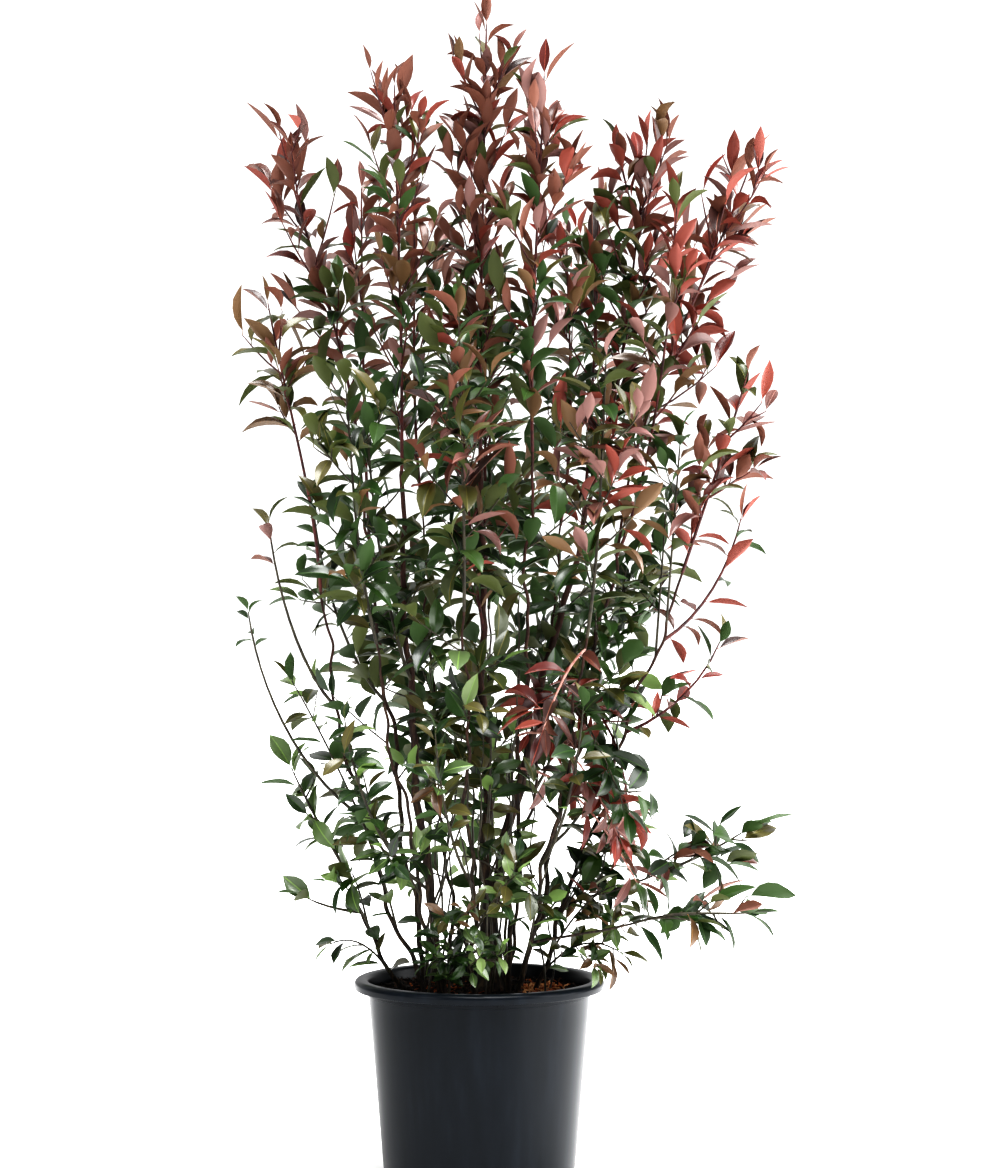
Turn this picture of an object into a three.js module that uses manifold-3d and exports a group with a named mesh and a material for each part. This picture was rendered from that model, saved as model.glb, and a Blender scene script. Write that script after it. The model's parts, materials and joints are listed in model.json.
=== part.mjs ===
import * as THREE from 'three';
import { mergeVertices } from 'three/addons/utils/BufferGeometryUtils.js';
import Module from 'manifold-3d';

// A red-tipped photinia, an evergreen shrub of many upright stems, in its round nursery pot.
// Millimetres, +Z up, +X to the right and +Y away as seen from the front.
// The origin is the middle of the pot's flat underside.

const wasm = await Module();
wasm.setup();

// Clearance between neighbouring pieces
const gap = 0.3;

// The nursery pot: a tapering bucket with a turned-over carrying lip
const pot = {
  height: 312,
  rimRadius: 200,
  lipHeight: 16,
  lipWall: 4,
  topRadius: 178,
  footRadius: 153,
  undersideRadius: 150,
  footEdge: 7,
  wall: 4,
  floor: 5,
  segments: 44,
};

// The potting mix stands this far below the rim
const soil = { belowRim: 22 };
soil.top = pot.height - soil.belowRim;

// Every woody stem ends in a flat cut just above the potting mix
const footHeight = soil.top + gap;

// The trunk's foot swells into its root flare
const flare = { swell: 0.5, height: 26 };

// Woody limbs. A stem rises from its foot in the potting mix; a bough leaves another limb
// at a share of that limb's length. Each runs to its tip, where it enters its foliage.
// The bow pushes the middle away from the plant's axis. Thickness is at the foot and tip.
const limbs = {
  trunk: { foot: [18, 0], tip: [2, -8, 1160], bow: -10, thick: [38, 14] },
  fork_bough: { from: 'trunk', at: 0.13, tip: [182, 52, 1090], bow: -26, thick: [24, 11] },
  dark_stem: { foot: [-58, -24], tip: [-122, -72, 1120], bow: 22, thick: [22, 11] },
  left_stem: { foot: [-88, 30], tip: [-192, 34, 1130], bow: 4, thick: [16, 9] },
  left_outer_stem: { foot: [-86, -34], tip: [-250, -64, 930], bow: 34, thick: [14, 8] },
  left_low_stem: { foot: [-116, 0], tip: [-222, -14, 500], bow: 12, thick: [14, 9] },
  right_stem: { foot: [64, 30], tip: [242, 2, 1120], bow: 10, thick: [16, 9] },
  right_outer_stem: { foot: [88, -8], tip: [322, -46, 960], bow: 0, thick: [15, 8] },
  centre_right_stem: { foot: [46, -34], tip: [84, -84, 1150], bow: 6, thick: [16, 9] },
  back_left_stem: { foot: [-38, 62], tip: [-96, 176, 1060], bow: 14, thick: [16, 9] },
  back_right_stem: { foot: [42, 70], tip: [134, 196, 1040], bow: 14, thick: [15, 9] },
  back_stem: { foot: [2, 88], tip: [14, 286, 900], bow: 20, thick: [14, 8] },
  front_stem: { foot: [-6, -66], tip: [-22, -206, 900], bow: 18, thick: [15, 8] },
  front_right_stem: { foot: [58, -66], tip: [166, -214, 860], bow: 16, thick: [14, 8] },
  front_left_stem: { foot: [-52, -70], tip: [-156, -192, 850], bow: 16, thick: [13, 8] },
  low_right_bough: { from: 'right_outer_stem', at: 0.2, tip: [296, -30, 486], bow: 6, thick: [9, 6] },
  low_front_right_bough: { from: 'front_right_stem', at: 0.16, tip: [286, -150, 428], bow: 6, thick: [9, 6] },
};

// How a limb is drawn
const limbShape = { sides: 8, sectionLength: 110, fewestSections: 5, crowdToFoot: 1.3 };

// Masses of foliage. Each grows on one stem of its own from a limb, at a share of the limb's
// length (1 is its tip), and reaches its furthest leaf at tip. Spread is how far its leaves
// stand from that stem.
const foliage = {
  crown_top: { on: 'trunk', at: 1, tip: [12, -12, 1892], spread: 116, tint: 'bronze' },
  centre_front: { on: 'trunk', at: 0.66, tip: [-32, -150, 1440], spread: 110, tint: 'bronze' },
  centre_back: { on: 'trunk', at: 0.72, tip: [10, 150, 1560], spread: 112, tint: 'bronze' },
  centre_low: { on: 'trunk', at: 0.24, tip: [20, -150, 760], spread: 90, tint: 'green' },
  right_leader: { on: 'fork_bough', at: 1, tip: [280, 70, 1716], spread: 116, tint: 'red' },
  right_back_leader: { on: 'fork_bough', at: 0.84, tip: [196, 150, 1630], spread: 105, tint: 'red' },
  right_middle: { on: 'fork_bough', at: 0.52, tip: [270, 130, 1060], spread: 110, tint: 'green' },
  hanging_red: { on: 'centre_right_stem', at: 0.5, tip: [238, -132, 520], spread: 74, tint: 'red', arch: 70 },
  left_centre_leader: { on: 'dark_stem', at: 1, tip: [-134, -84, 1782], spread: 116, tint: 'bronze' },
  left_front_middle: { on: 'dark_stem', at: 0.6, tip: [-176, -176, 1290], spread: 100, tint: 'olive' },
  left_front_low: { on: 'dark_stem', at: 0.2, tip: [-186, -120, 690], spread: 84, tint: 'green' },
  far_left_leader: { on: 'left_stem', at: 1, tip: [-334, 26, 1722], spread: 120, tint: 'bronze' },
  left_back_leader: { on: 'left_stem', at: 0.86, tip: [-196, 140, 1650], spread: 108, tint: 'bronze' },
  left_back_middle: { on: 'left_stem', at: 0.55, tip: [-280, 140, 1130], spread: 110, tint: 'green' },
  left_back_low: { on: 'left_stem', at: 0.2, tip: [-220, 110, 700], spread: 92, tint: 'green' },
  far_left_shoulder: { on: 'left_outer_stem', at: 1, tip: [-342, -72, 1440], spread: 120, tint: 'bronze' },
  left_middle: { on: 'left_outer_stem', at: 0.72, tip: [-338, -50, 1100], spread: 92, tint: 'olive' },
  left_lone_twig: { on: 'left_outer_stem', at: 0.44, tip: [-368, -60, 930], spread: 56, tint: 'light' },
  low_left_twig: { on: 'left_low_stem', at: 1, tip: [-322, -20, 700], spread: 80, tint: 'light' },
  low_left_front: { on: 'left_low_stem', at: 0.62, tip: [-302, -84, 480], spread: 80, tint: 'light' },
  right_top_leader: { on: 'right_stem', at: 1, tip: [452, -4, 1666], spread: 120, tint: 'red' },
  right_front_leader: { on: 'right_stem', at: 0.84, tip: [312, -96, 1600], spread: 105, tint: 'red' },
  right_back_low: { on: 'right_stem', at: 0.28, tip: [236, 96, 790], spread: 92, tint: 'green' },
  right_shoulder: { on: 'right_outer_stem', at: 1, tip: [440, -58, 1330], spread: 96, tint: 'red' },
  right_elbow: { on: 'right_outer_stem', at: 0.84, tip: [430, 44, 1100], spread: 84, tint: 'red' },
  right_low: { on: 'right_outer_stem', at: 0.62, tip: [392, -70, 900], spread: 80, tint: 'red' },
  low_right_twig: { on: 'low_right_bough', at: 1, tip: [480, -34, 590], spread: 84, tint: 'green' },
  low_front_right_twig: { on: 'low_front_right_bough', at: 1, tip: [488, -150, 440], spread: 80, tint: 'green' },
  centre_right_leader: { on: 'centre_right_stem', at: 1, tip: [104, -92, 1796], spread: 108, tint: 'bronze' },
  back_left_leader: { on: 'back_left_stem', at: 1, tip: [-112, 230, 1640], spread: 116, tint: 'bronze' },
  back_left_middle: { on: 'back_left_stem', at: 0.42, tip: [-150, 280, 1040], spread: 110, tint: 'green' },
  back_right_leader: { on: 'back_right_stem', at: 1, tip: [146, 262, 1600], spread: 116, tint: 'bronze' },
  back_right_middle: { on: 'back_right_stem', at: 0.42, tip: [180, 280, 1000], spread: 110, tint: 'green' },
  back_leader: { on: 'back_stem', at: 1, tip: [14, 360, 1420], spread: 116, tint: 'olive' },
  back_low: { on: 'back_stem', at: 0.26, tip: [0, 310, 680], spread: 100, tint: 'green' },
  front_leader: { on: 'front_stem', at: 1, tip: [-30, -290, 1400], spread: 116, tint: 'olive' },
  front_low: { on: 'front_stem', at: 0.3, tip: [-66, -300, 760], spread: 100, tint: 'green' },
  front_right_leader: { on: 'front_right_stem', at: 1, tip: [196, -262, 1340], spread: 112, tint: 'olive' },
  front_right_low: { on: 'front_right_stem', at: 0.38, tip: [160, -290, 800], spread: 96, tint: 'green' },
  front_left_leader: { on: 'front_left_stem', at: 1, tip: [-206, -246, 1300], spread: 112, tint: 'olive' },
  front_left_low: { on: 'front_left_stem', at: 0.34, tip: [-206, -250, 780], spread: 96, tint: 'green' },
};

// Twigs, the same rule on every mass
const twig = {
  every: 112,
  leastAlong: 0.14,
  mostAlong: 0.9,
  branchAngle: 0.85,
  upturn: 0.22,
  stemThick: 5.2,
  tipThick: 3,
  sides: 3,
  shortest: 34,
};

// Leaves stand for two or three real ones each, so they are larger than life
const leaf = {
  length: 116,
  width: 46,
  thick: 2.2,
  fold: 5,
  droop: 9,
  every: 46,
  spacing: 36,
  tries: 7,
  rosette: 3,
  // Leaf area for each unit of a mass's length times its spread
  cover: 1.46,
  // A mass with a narrower spread than this has smaller leaves, down to the least size
  fullSpread: 100,
  leastSize: 0.62,
};

// Distances that keep each mass in its own space
const keep = { fromNeighbour: 7, fromLimb: 6, fromPot: 5, step: 24 };

// A joint with a shorter edge or a lower triangle than this is not made
const sliver = { edge: 0.02, height: 0.004 };

const goldenAngle = Math.PI * (3 - Math.sqrt(5));
const up = new THREE.Vector3(0, 0, 1);

// Repeatable random numbers from 0 to 1
function seededRandom(seed) {
  let state = seed;
  return () => {
    state = (Math.imul(state, 1664525) + 1013904223) >>> 0;
    return state / 4294967296;
  };
}

function finish(colour, roughness) {
  return new THREE.MeshStandardMaterial({ color: colour, roughness, metalness: 0 });
}

const finishes = {
  plastic: finish('#25282c', 0.5),
  soil: finish('#6d452f', 0.95),
  bark: finish('#4b3a2f', 0.85),
  bronze: finish('#7d4a3e', 0.45),
  red: finish('#a34436', 0.45),
  olive: finish('#5c5f36', 0.45),
  green: finish('#2c5530', 0.4),
  light: finish('#6e9a3a', 0.45),
};

// A closed mesh with its shared corners merged, so that it can be joined and cut
function onlyPositions(geometry) {
  geometry.deleteAttribute('normal');
  geometry.deleteAttribute('uv');
  return mergeVertices(geometry);
}

function toSolid(geometry) {
  const mesh = new wasm.Mesh({
    numProp: 3,
    vertProperties: new Float32Array(geometry.attributes.position.array),
    triVerts: new Uint32Array(geometry.index.array),
  });
  return new wasm.Manifold(mesh);
}

function toGeometry(solid) {
  const mesh = solid.getMesh();
  const geometry = new THREE.BufferGeometry();
  geometry.setAttribute('position', new THREE.BufferAttribute(mesh.vertProperties, 3));
  geometry.setIndex(new THREE.BufferAttribute(mesh.triVerts, 1));
  geometry.computeVertexNormals();
  return geometry;
}

// The places along a curve, each with the directions of the ring that stands there
function ringsAlong(curve, places) {
  const first = curve.getTangentAt(0);
  let side = new THREE.Vector3(0, 1, 0).addScaledVector(first, -first.y).normalize();
  return places.map((place) => {
    const along = curve.getTangentAt(place);
    side = side.clone().addScaledVector(along, -side.dot(along)).normalize();
    const across = new THREE.Vector3().crossVectors(side, along);
    return { centre: curve.getPointAt(place), along, side, across };
  });
}

// A tapering limb: a closed cylinder carried onto a curve, ring by ring
function taperedTube(curve, radiusAt, sides, sections, crowd = 1) {
  const geometry = onlyPositions(new THREE.CylinderGeometry(1, 1, 1, sides, sections));
  const places = Array.from({ length: sections + 1 }, (_, ring) => (ring / sections) ** crowd);
  const rings = ringsAlong(curve, places);
  const corners = geometry.attributes.position;
  for (let i = 0; i < corners.count; i++) {
    const number = Math.round((corners.getY(i) + 0.5) * sections);
    const ring = rings[number];
    const radius = radiusAt(places[number]);
    const point = ring.centre
      .clone()
      .addScaledVector(ring.side, corners.getX(i) * radius)
      .addScaledVector(ring.across, corners.getZ(i) * radius);
    corners.setXYZ(i, point.x, point.y, point.z);
  }
  return geometry;
}

// A stem's lowest ring is sheared to a level cut
function cutLevel(geometry, curve) {
  const along = curve.getTangentAt(0);
  const lowest = curve.getPointAt(0);
  const corners = geometry.attributes.position;
  for (let i = 0; i < corners.count; i++) {
    const point = new THREE.Vector3().fromBufferAttribute(corners, i);
    const aboveRing = point.clone().sub(lowest).dot(along);
    if (Math.abs(aboveRing) < 0.01) {
      point.addScaledVector(along, (footHeight - point.z) / along.z);
      corners.setXYZ(i, point.x, point.y, footHeight);
    }
  }
}

// The curve of a limb from its start to its tip, its middle pushed out by the bow
function limbCurve(start, tip, bow) {
  const outward = new THREE.Vector3(tip.x, tip.y, 0).normalize();
  const low = start.clone().lerp(tip, 1 / 3).addScaledVector(outward, bow);
  const high = start.clone().lerp(tip, 2 / 3).addScaledVector(outward, bow);
  return new THREE.CubicBezierCurve3(start, low, high, tip);
}

function growLimbs() {
  for (const [name, limb] of Object.entries(limbs)) {
    const parent = limbs[limb.from];
    const start = parent
      ? parent.curve.getPointAt(limb.at)
      : new THREE.Vector3(limb.foot[0], limb.foot[1], footHeight);
    limb.curve = limbCurve(start, new THREE.Vector3(...limb.tip), limb.bow);
    const length = limb.curve.getLength();
    const swell = name === 'trunk' ? flare.swell : 0;
    limb.radiusAt = (place) => {
      const taper = THREE.MathUtils.lerp(limb.thick[0], limb.thick[1], place) / 2;
      return taper * (1 + swell * Math.exp((-place * length) / flare.height));
    };
    limb.sections = Math.max(limbShape.fewestSections, Math.round(length / limbShape.sectionLength));
    limb.spine = spineOf(limb.curve, length, limb.radiusAt);
  }
}

// Points along a curve, close enough together to measure distances from
function spineOf(curve, length, radiusAt = () => 0) {
  const steps = Math.ceil(length / keep.step);
  return Array.from({ length: steps + 1 }, (_, step) => ({
    point: curve.getPointAt(step / steps),
    radius: radiusAt(step / steps),
  }));
}

function limbSolid(limb, inflate) {
  const facet = inflate / Math.cos(Math.PI / limbShape.sides);
  const crowd = limb.from ? 1 : limbShape.crowdToFoot;
  const radiusAt = (place) => limb.radiusAt(place) + facet;
  const geometry = taperedTube(limb.curve, radiusAt, limbShape.sides, limb.sections, crowd);
  if (!limb.from) cutLevel(geometry, limb.curve);
  return toSolid(geometry);
}

// A bough or a foliage stem is cut clear of the limb that it leaves
function cutClear(solid, parent) {
  return solid.subtract(limbSolid(parent, gap));
}

// The stem of a foliage mass: on from a limb's tip, or out from its side and then up.
// A positive arch carries it over before it hangs.
function massCurve(mass, tip) {
  const limb = limbs[mass.on];
  if (mass.at === 1) {
    const along = limb.curve.getTangentAt(1);
    const start = limb.curve.getPointAt(1).addScaledVector(along, gap);
    const reach = start.distanceTo(tip) / 3;
    const low = start.clone().addScaledVector(along, reach);
    const high = tip.clone().lerp(start, 1 / 3).addScaledVector(up, -reach / 6);
    return new THREE.CubicBezierCurve3(start, low, high, tip);
  }
  const start = limb.curve.getPointAt(mass.at);
  const outward = tip.clone().sub(start);
  const rise = outward.z;
  outward.z = 0;
  const arch = mass.arch ?? 0;
  const low = start.clone().addScaledVector(outward, 0.5).addScaledVector(up, arch || rise * 0.16);
  const high = start.clone().addScaledVector(outward, 0.94).addScaledVector(up, arch || rise * 0.56);
  return new THREE.CubicBezierCurve3(start, low, high, tip);
}

function placeMasses() {
  for (const mass of Object.values(foliage)) {
    const reach = new THREE.Vector3(...mass.tip);
    mass.space = massCurve(mass, reach);
    mass.spine = spineOf(mass.space, mass.space.getLength());
    // The stem itself stops short, so that its last leaves end at the reach
    const length = mass.space.getLength();
    mass.leafSize = THREE.MathUtils.clamp(mass.spread / leaf.fullSpread, leaf.leastSize, 1);
    mass.stemShare = 1 - (leaf.length * mass.leafSize * 0.85) / length;
    const leafArea = leaf.length * leaf.width * mass.leafSize ** 2;
    mass.mostLeaves = Math.round((leaf.cover * length * mass.spread) / leafArea);
  }
}

function nearest(spine, point) {
  let least = Infinity;
  for (const { point: other, radius } of spine) {
    least = Math.min(least, other.distanceTo(point) - radius);
  }
  return least;
}

function clearOfPot(point) {
  const fromAxis = Math.hypot(point.x, point.y);
  if (point.z > pot.height + keep.fromPot) return true;
  return fromAxis > pot.rimRadius + keep.fromPot;
}

// A point belongs to a mass if it is within its spread, nearer to its stem than to any
// other mass's stem, and clear of the limbs and the pot
function fits(point, mass) {
  const own = nearest(mass.spine, point);
  if (own > mass.spread || !clearOfPot(point)) return false;
  for (const other of Object.values(foliage)) {
    if (other !== mass && nearest(other.spine, point) < own + keep.fromNeighbour) return false;
  }
  return Object.values(limbs).every((limb) => nearest(limb.spine, point) > keep.fromLimb);
}

// Directions around a curve at one place, turned by an angle
function directionsAt(curve, place, turn) {
  const along = curve.getTangentAt(place);
  const level = new THREE.Vector3(0, 1, 0).addScaledVector(along, -along.y).normalize();
  const across = new THREE.Vector3().crossVectors(along, level);
  const outward = level.multiplyScalar(Math.cos(turn)).addScaledVector(across, Math.sin(turn));
  return { along, outward };
}

// A side twig: it leaves the stem at an angle and turns up towards its end
function twigCurve(stem, place, turn, length) {
  const { along, outward } = directionsAt(stem, place, turn);
  const heading = along
    .multiplyScalar(Math.cos(twig.branchAngle))
    .addScaledVector(outward, Math.sin(twig.branchAngle));
  const start = stem.getPointAt(place);
  const middle = start.clone().addScaledVector(heading, length * 0.5);
  const end = start.clone().addScaledVector(heading, length).addScaledVector(up, length * twig.upturn);
  return new THREE.QuadraticBezierCurve3(start, middle, end);
}

// Leaf corners from the six corners of an octahedron: root and tip, two edges, and the
// upper and lower middle. The halves fold up from the midrib and the tip droops.
function leafPoint(frame, size, corner) {
  const length = leaf.length * size;
  const point = frame.root.clone();
  const alongShare = corner.y === 0 ? 0.46 : (corner.y + 1) / 2;
  point.addScaledVector(frame.heading, length * alongShare);
  point.addScaledVector(frame.side, (corner.x * leaf.width * size) / 2);
  point.addScaledVector(frame.face, Math.abs(corner.x) * leaf.fold + (corner.z * leaf.thick) / 2);
  if (corner.y > 0) point.addScaledVector(frame.face, -leaf.droop * size);
  return point;
}

function leafSolid(frame, size) {
  const geometry = onlyPositions(new THREE.OctahedronGeometry(1));
  const corners = geometry.attributes.position;
  for (let i = 0; i < corners.count; i++) {
    const corner = new THREE.Vector3().fromBufferAttribute(corners, i).round();
    const point = leafPoint(frame, size, corner);
    corners.setXYZ(i, point.x, point.y, point.z);
  }
  return toSolid(geometry);
}

// Points spread over a leaf's blade, to test where it lies
function leafSamples(frame, size) {
  const samples = [];
  for (const along of [0.3, 0.5, 0.7, 0.85, 1]) {
    const halfWidth = (1 - Math.abs(along - 0.46) / 0.54) * 0.5 * leaf.width * size;
    for (const side of [-1, 0, 1]) {
      samples.push(
        frame.root
          .clone()
          .addScaledVector(frame.heading, along * leaf.length * size)
          .addScaledVector(frame.side, side * halfWidth)
          .addScaledVector(frame.face, Math.abs(side) * leaf.fold - along * along * leaf.droop),
      );
    }
  }
  return samples;
}

// A leaf stands off its twig at an angle, its upper face towards the twig's end
function leafFrame(curve, place, turn, angle, roll) {
  const { along, outward } = directionsAt(curve, place, turn);
  const heading = along
    .clone()
    .multiplyScalar(Math.cos(angle))
    .addScaledVector(outward, Math.sin(angle));
  const face = along.addScaledVector(heading, -along.dot(heading)).normalize();
  face.applyAxisAngle(heading, roll);
  const side = new THREE.Vector3().crossVectors(heading, face);
  return { root: curve.getPointAt(place), heading, face, side };
}

function addLeaves(mass, curve, grown, random) {
  const length = curve.getLength();
  const places = Math.max(1, Math.floor(length / (leaf.every * mass.leafSize)));
  const firstTurn = random() * 2 * Math.PI;
  for (let number = 0; number < places + leaf.rosette - 1; number++) {
    const fromTip = Math.max(0, number - leaf.rosette + 1);
    const place = 0.985 - (0.9 * fromTip) / places;
    const atTip = number < leaf.rosette;
    if (grown.leafMiddles.length >= mass.mostLeaves) return;
    for (let attempt = 0; attempt < leaf.tries; attempt++) {
      const turn = firstTurn + number * goldenAngle + attempt * 0.9;
      const angle = (atTip ? 0.12 + 0.3 * number : 0.95) + 0.25 * random();
      const roll = (random() - 0.5) * 0.9;
      const size = mass.leafSize * (0.84 + 0.26 * random());
      const frame = leafFrame(curve, place, turn, angle, roll);
      const samples = leafSamples(frame, size);
      const middle = samples[4];
      const crowded = grown.leafMiddles.some((other) => other.distanceTo(middle) < leaf.spacing);
      if (crowded || !samples.every((point) => fits(point, mass))) continue;
      if (!joinCleanly(grown, leafSolid(frame, size))) continue;
      grown.leafMiddles.push(middle);
      break;
    }
  }
}

// All of one mass's stem, twigs and leaves, joined into one solid
function growMass(mass, seed) {
  const random = seededRandom(seed);
  const limb = limbs[mass.on];
  const stem = new StemPart(mass.space, mass.stemShare);
  const stemLength = stem.getLength();
  const stemRadius = (place) => THREE.MathUtils.lerp(twig.stemThick, twig.tipThick, place) / 2;
  const stemSections = Math.max(3, Math.round(stemLength / 120));
  const stemSolid = toSolid(taperedTube(stem, stemRadius, twig.sides, stemSections));
  const clearStem = mass.at === 1 ? stemSolid : largestPart(cutClear(stemSolid, limb));
  const grown = { solid: clearStem, leafMiddles: [] };
  const twigs = Math.round(stemLength / (twig.every * mass.leafSize));
  for (let number = 0; number < twigs; number++) {
    const share = (number + 0.3 + 0.4 * random()) / twigs;
    const place = THREE.MathUtils.lerp(twig.leastAlong, twig.mostAlong, share);
    const turn = number * goldenAngle + 0.7 * random();
    let length = (mass.spread - leaf.length * mass.leafSize * 0.42) * (0.75 + 0.35 * random());
    while (length > twig.shortest * mass.leafSize) {
      const curve = twigCurve(stem, place, turn, length);
      if ([0.35, 0.6, 0.8, 1].every((share) => fits(curve.getPointAt(share), mass))) {
        const radius = (at) => THREE.MathUtils.lerp(stemRadius(place) * 0.8, twig.tipThick / 2, at);
        if (joinCleanly(grown, toSolid(taperedTube(curve, radius, twig.sides, 2)))) {
          addLeaves(mass, curve, grown, random);
          break;
        }
      }
      length *= 0.75;
    }
  }
  addLeaves(mass, stem, grown, random);
  return grown.solid;
}

// Drops any loose scrap
function largestPart(solid) {
  return solid.decompose().reduce((best, part) => (part.volume() > best.volume() ? part : best));
}

// Joins a piece to what has grown, unless the joint would have a sliver of a face
function joinCleanly(grown, piece) {
  const joined = grown.solid.add(piece);
  if (joined.decompose().length > 1 || sliversIn(joined) > sliversIn(grown.solid)) return false;
  grown.solid = joined;
  return true;
}

function sliversIn(solid) {
  const { vertProperties: places, triVerts } = solid.getMesh();
  let count = 0;
  for (let i = 0; i < triVerts.length; i += 3) {
    const corners = [0, 1, 2].map((k) => new THREE.Vector3().fromArray(places, 3 * triVerts[i + k]));
    const sides = [0, 1, 2].map((k) => corners[k].distanceTo(corners[(k + 1) % 3]));
    const area = new THREE.Triangle(...corners).getArea();
    const height = (2 * area) / Math.max(...sides);
    if (Math.min(...sides) < sliver.edge || height < sliver.height) count++;
  }
  return count;
}

// The woody part of a mass's curve, from its start to a share of its length
class StemPart extends THREE.Curve {
  constructor(whole, share) {
    super();
    this.whole = whole;
    this.share = share;
  }

  getPoint(place, target = new THREE.Vector3()) {
    return target.copy(this.whole.getPointAt(place * this.share));
  }
}

// The pot's outline, turned about its axis: underside, body, lip, inner wall and floor
function potProfile() {
  const lipBottom = pot.height - pot.lipHeight;
  const innerTop = pot.topRadius - pot.wall;
  const innerFoot = pot.footRadius - pot.wall;
  const lipInner = pot.rimRadius - pot.lipWall;
  const lipRoof = pot.height - pot.lipWall;
  return [
    [0, 0],
    [pot.undersideRadius, 0],
    [pot.footRadius, pot.footEdge],
    [pot.topRadius, lipBottom - 4],
    [pot.topRadius + 1.5, lipRoof - 3],
    [lipInner - 4, lipRoof],
    [lipInner, lipBottom],
    [pot.rimRadius - 1, lipBottom],
    [pot.rimRadius, lipBottom + 4],
    [pot.rimRadius - 1.5, pot.height - 3],
    [pot.rimRadius - 6, pot.height],
    [pot.rimRadius - 14, pot.height],
    [pot.topRadius + 2, pot.height - 4],
    [innerTop, lipBottom],
    [innerFoot, pot.floor + 2],
    [innerFoot - 3, pot.floor],
    [0, pot.floor],
  ];
}

// The potting mix fills the pot, clear of its wall and floor
function soilProfile() {
  const lipBottom = pot.height - pot.lipHeight;
  const innerTop = pot.topRadius - pot.wall;
  const innerFoot = pot.footRadius - pot.wall;
  const low = pot.floor + 2;
  const rise = (soil.top - low) / (lipBottom - low);
  return [
    [0, pot.floor + gap],
    [innerFoot - 3 - gap, pot.floor + gap],
    [innerFoot - 2 * gap, low + gap],
    [THREE.MathUtils.lerp(innerFoot, innerTop, rise) - 2 * gap, soil.top],
    [0, soil.top],
  ];
}

function turned(profile) {
  const outline = profile.map(([radius, height]) => new THREE.Vector2(radius, height));
  return new THREE.LatheGeometry(outline, pot.segments).rotateX(Math.PI / 2);
}

const plant = new THREE.Group();

function addMesh(name, geometry, material) {
  const mesh = new THREE.Mesh(geometry, material);
  mesh.name = name;
  plant.add(mesh);
}

addMesh('pot', turned(potProfile()), finishes.plastic);
addMesh('potting_mix', turned(soilProfile()), finishes.soil);

growLimbs();
for (const [name, limb] of Object.entries(limbs)) {
  const whole = limbSolid(limb, 0);
  const solid = limb.from ? cutClear(whole, limbs[limb.from]) : whole;
  addMesh(name, toGeometry(solid), finishes.bark);
}

placeMasses();
Object.entries(foliage).forEach(([name, mass], number) => {
  const solid = growMass(mass, 101 + 7 * number);
  addMesh('foliage_' + name, toGeometry(solid), finishes[mass.tint]);
});

export default plant;
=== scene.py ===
import json
import math

import bpy
import numpy as np
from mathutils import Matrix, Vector, noise

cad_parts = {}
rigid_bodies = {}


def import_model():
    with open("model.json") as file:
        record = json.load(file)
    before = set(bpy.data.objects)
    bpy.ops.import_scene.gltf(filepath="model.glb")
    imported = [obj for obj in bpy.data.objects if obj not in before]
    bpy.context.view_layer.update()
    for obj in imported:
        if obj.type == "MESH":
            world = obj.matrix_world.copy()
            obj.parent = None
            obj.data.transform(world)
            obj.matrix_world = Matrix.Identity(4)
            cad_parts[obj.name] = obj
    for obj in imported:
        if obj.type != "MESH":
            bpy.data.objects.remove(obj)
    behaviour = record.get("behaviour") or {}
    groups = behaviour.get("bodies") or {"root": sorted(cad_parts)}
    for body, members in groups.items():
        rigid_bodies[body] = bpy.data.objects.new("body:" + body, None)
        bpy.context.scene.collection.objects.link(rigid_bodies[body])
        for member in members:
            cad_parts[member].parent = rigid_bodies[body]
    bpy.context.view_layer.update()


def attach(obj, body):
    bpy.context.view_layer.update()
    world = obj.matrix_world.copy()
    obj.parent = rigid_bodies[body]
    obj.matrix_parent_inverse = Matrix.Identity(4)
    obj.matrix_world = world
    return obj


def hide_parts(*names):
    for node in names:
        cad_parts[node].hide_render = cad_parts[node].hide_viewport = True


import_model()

# A red-tipped photinia in its nursery pot. The solids' own sizes are in millimetres, and
# every mesh is made in metres, so lengths pass through mm on their way.
mm = 0.001
random = np.random.RandomState


def linearColour(hexValue):
    # sRGB hex to the linear numbers that the shader wants
    channels = [int(hexValue[i:i + 2], 16) / 255 for i in (1, 3, 5)]
    return [c / 12.92 if c <= 0.04045 else ((c + 0.055) / 1.055) ** 2.4 for c in channels] + [1.0]


def addNode(tree, kind, settings=None, links=None):
    # one node, its settings by name, and what feeds its inputs
    node = tree.nodes.new(kind)
    for name, value in (settings or {}).items():
        if isinstance(name, int) or name in node.inputs:
            node.inputs[name].default_value = value
        else:
            setattr(node, name, value)
    for name, source in (links or {}).items():
        tree.links.new(source, node.inputs[name])
    return node


def addNoise(tree, source, size, detail, roughness=0.5):
    # noise with blotches of about size mm
    return addNode(tree, "ShaderNodeTexNoise",
                   {"Scale": 1 / (size * mm), "Detail": detail, "Roughness": roughness},
                   {"Vector": source}).outputs["Fac"]


def addRamp(tree, source, *stops):
    # a colour ramp from pairs of place and hex colour
    node = addNode(tree, "ShaderNodeValToRGB", {}, {"Fac": source})
    ramp = node.color_ramp
    while len(ramp.elements) < len(stops):
        ramp.elements.new(0.5)
    for element, (place, hexValue) in zip(ramp.elements, stops):
        element.position = place
        element.color = linearColour(hexValue)
    return node.outputs["Color"]


def addRange(tree, source, before, after):
    # carries the range before onto the range after
    limits = {"From Min": before[0], "From Max": before[1], "To Min": after[0], "To Max": after[1]}
    return addNode(tree, "ShaderNodeMapRange", limits, {"Value": source}).outputs["Result"]


def addBump(tree, shader, source, strength, depth):
    # a relief, depth in mm
    bump = addNode(tree, "ShaderNodeBump", {"Strength": strength, "Distance": depth * mm},
                   {"Height": source})
    tree.links.new(bump.outputs["Normal"], shader.inputs["Normal"])


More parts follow.
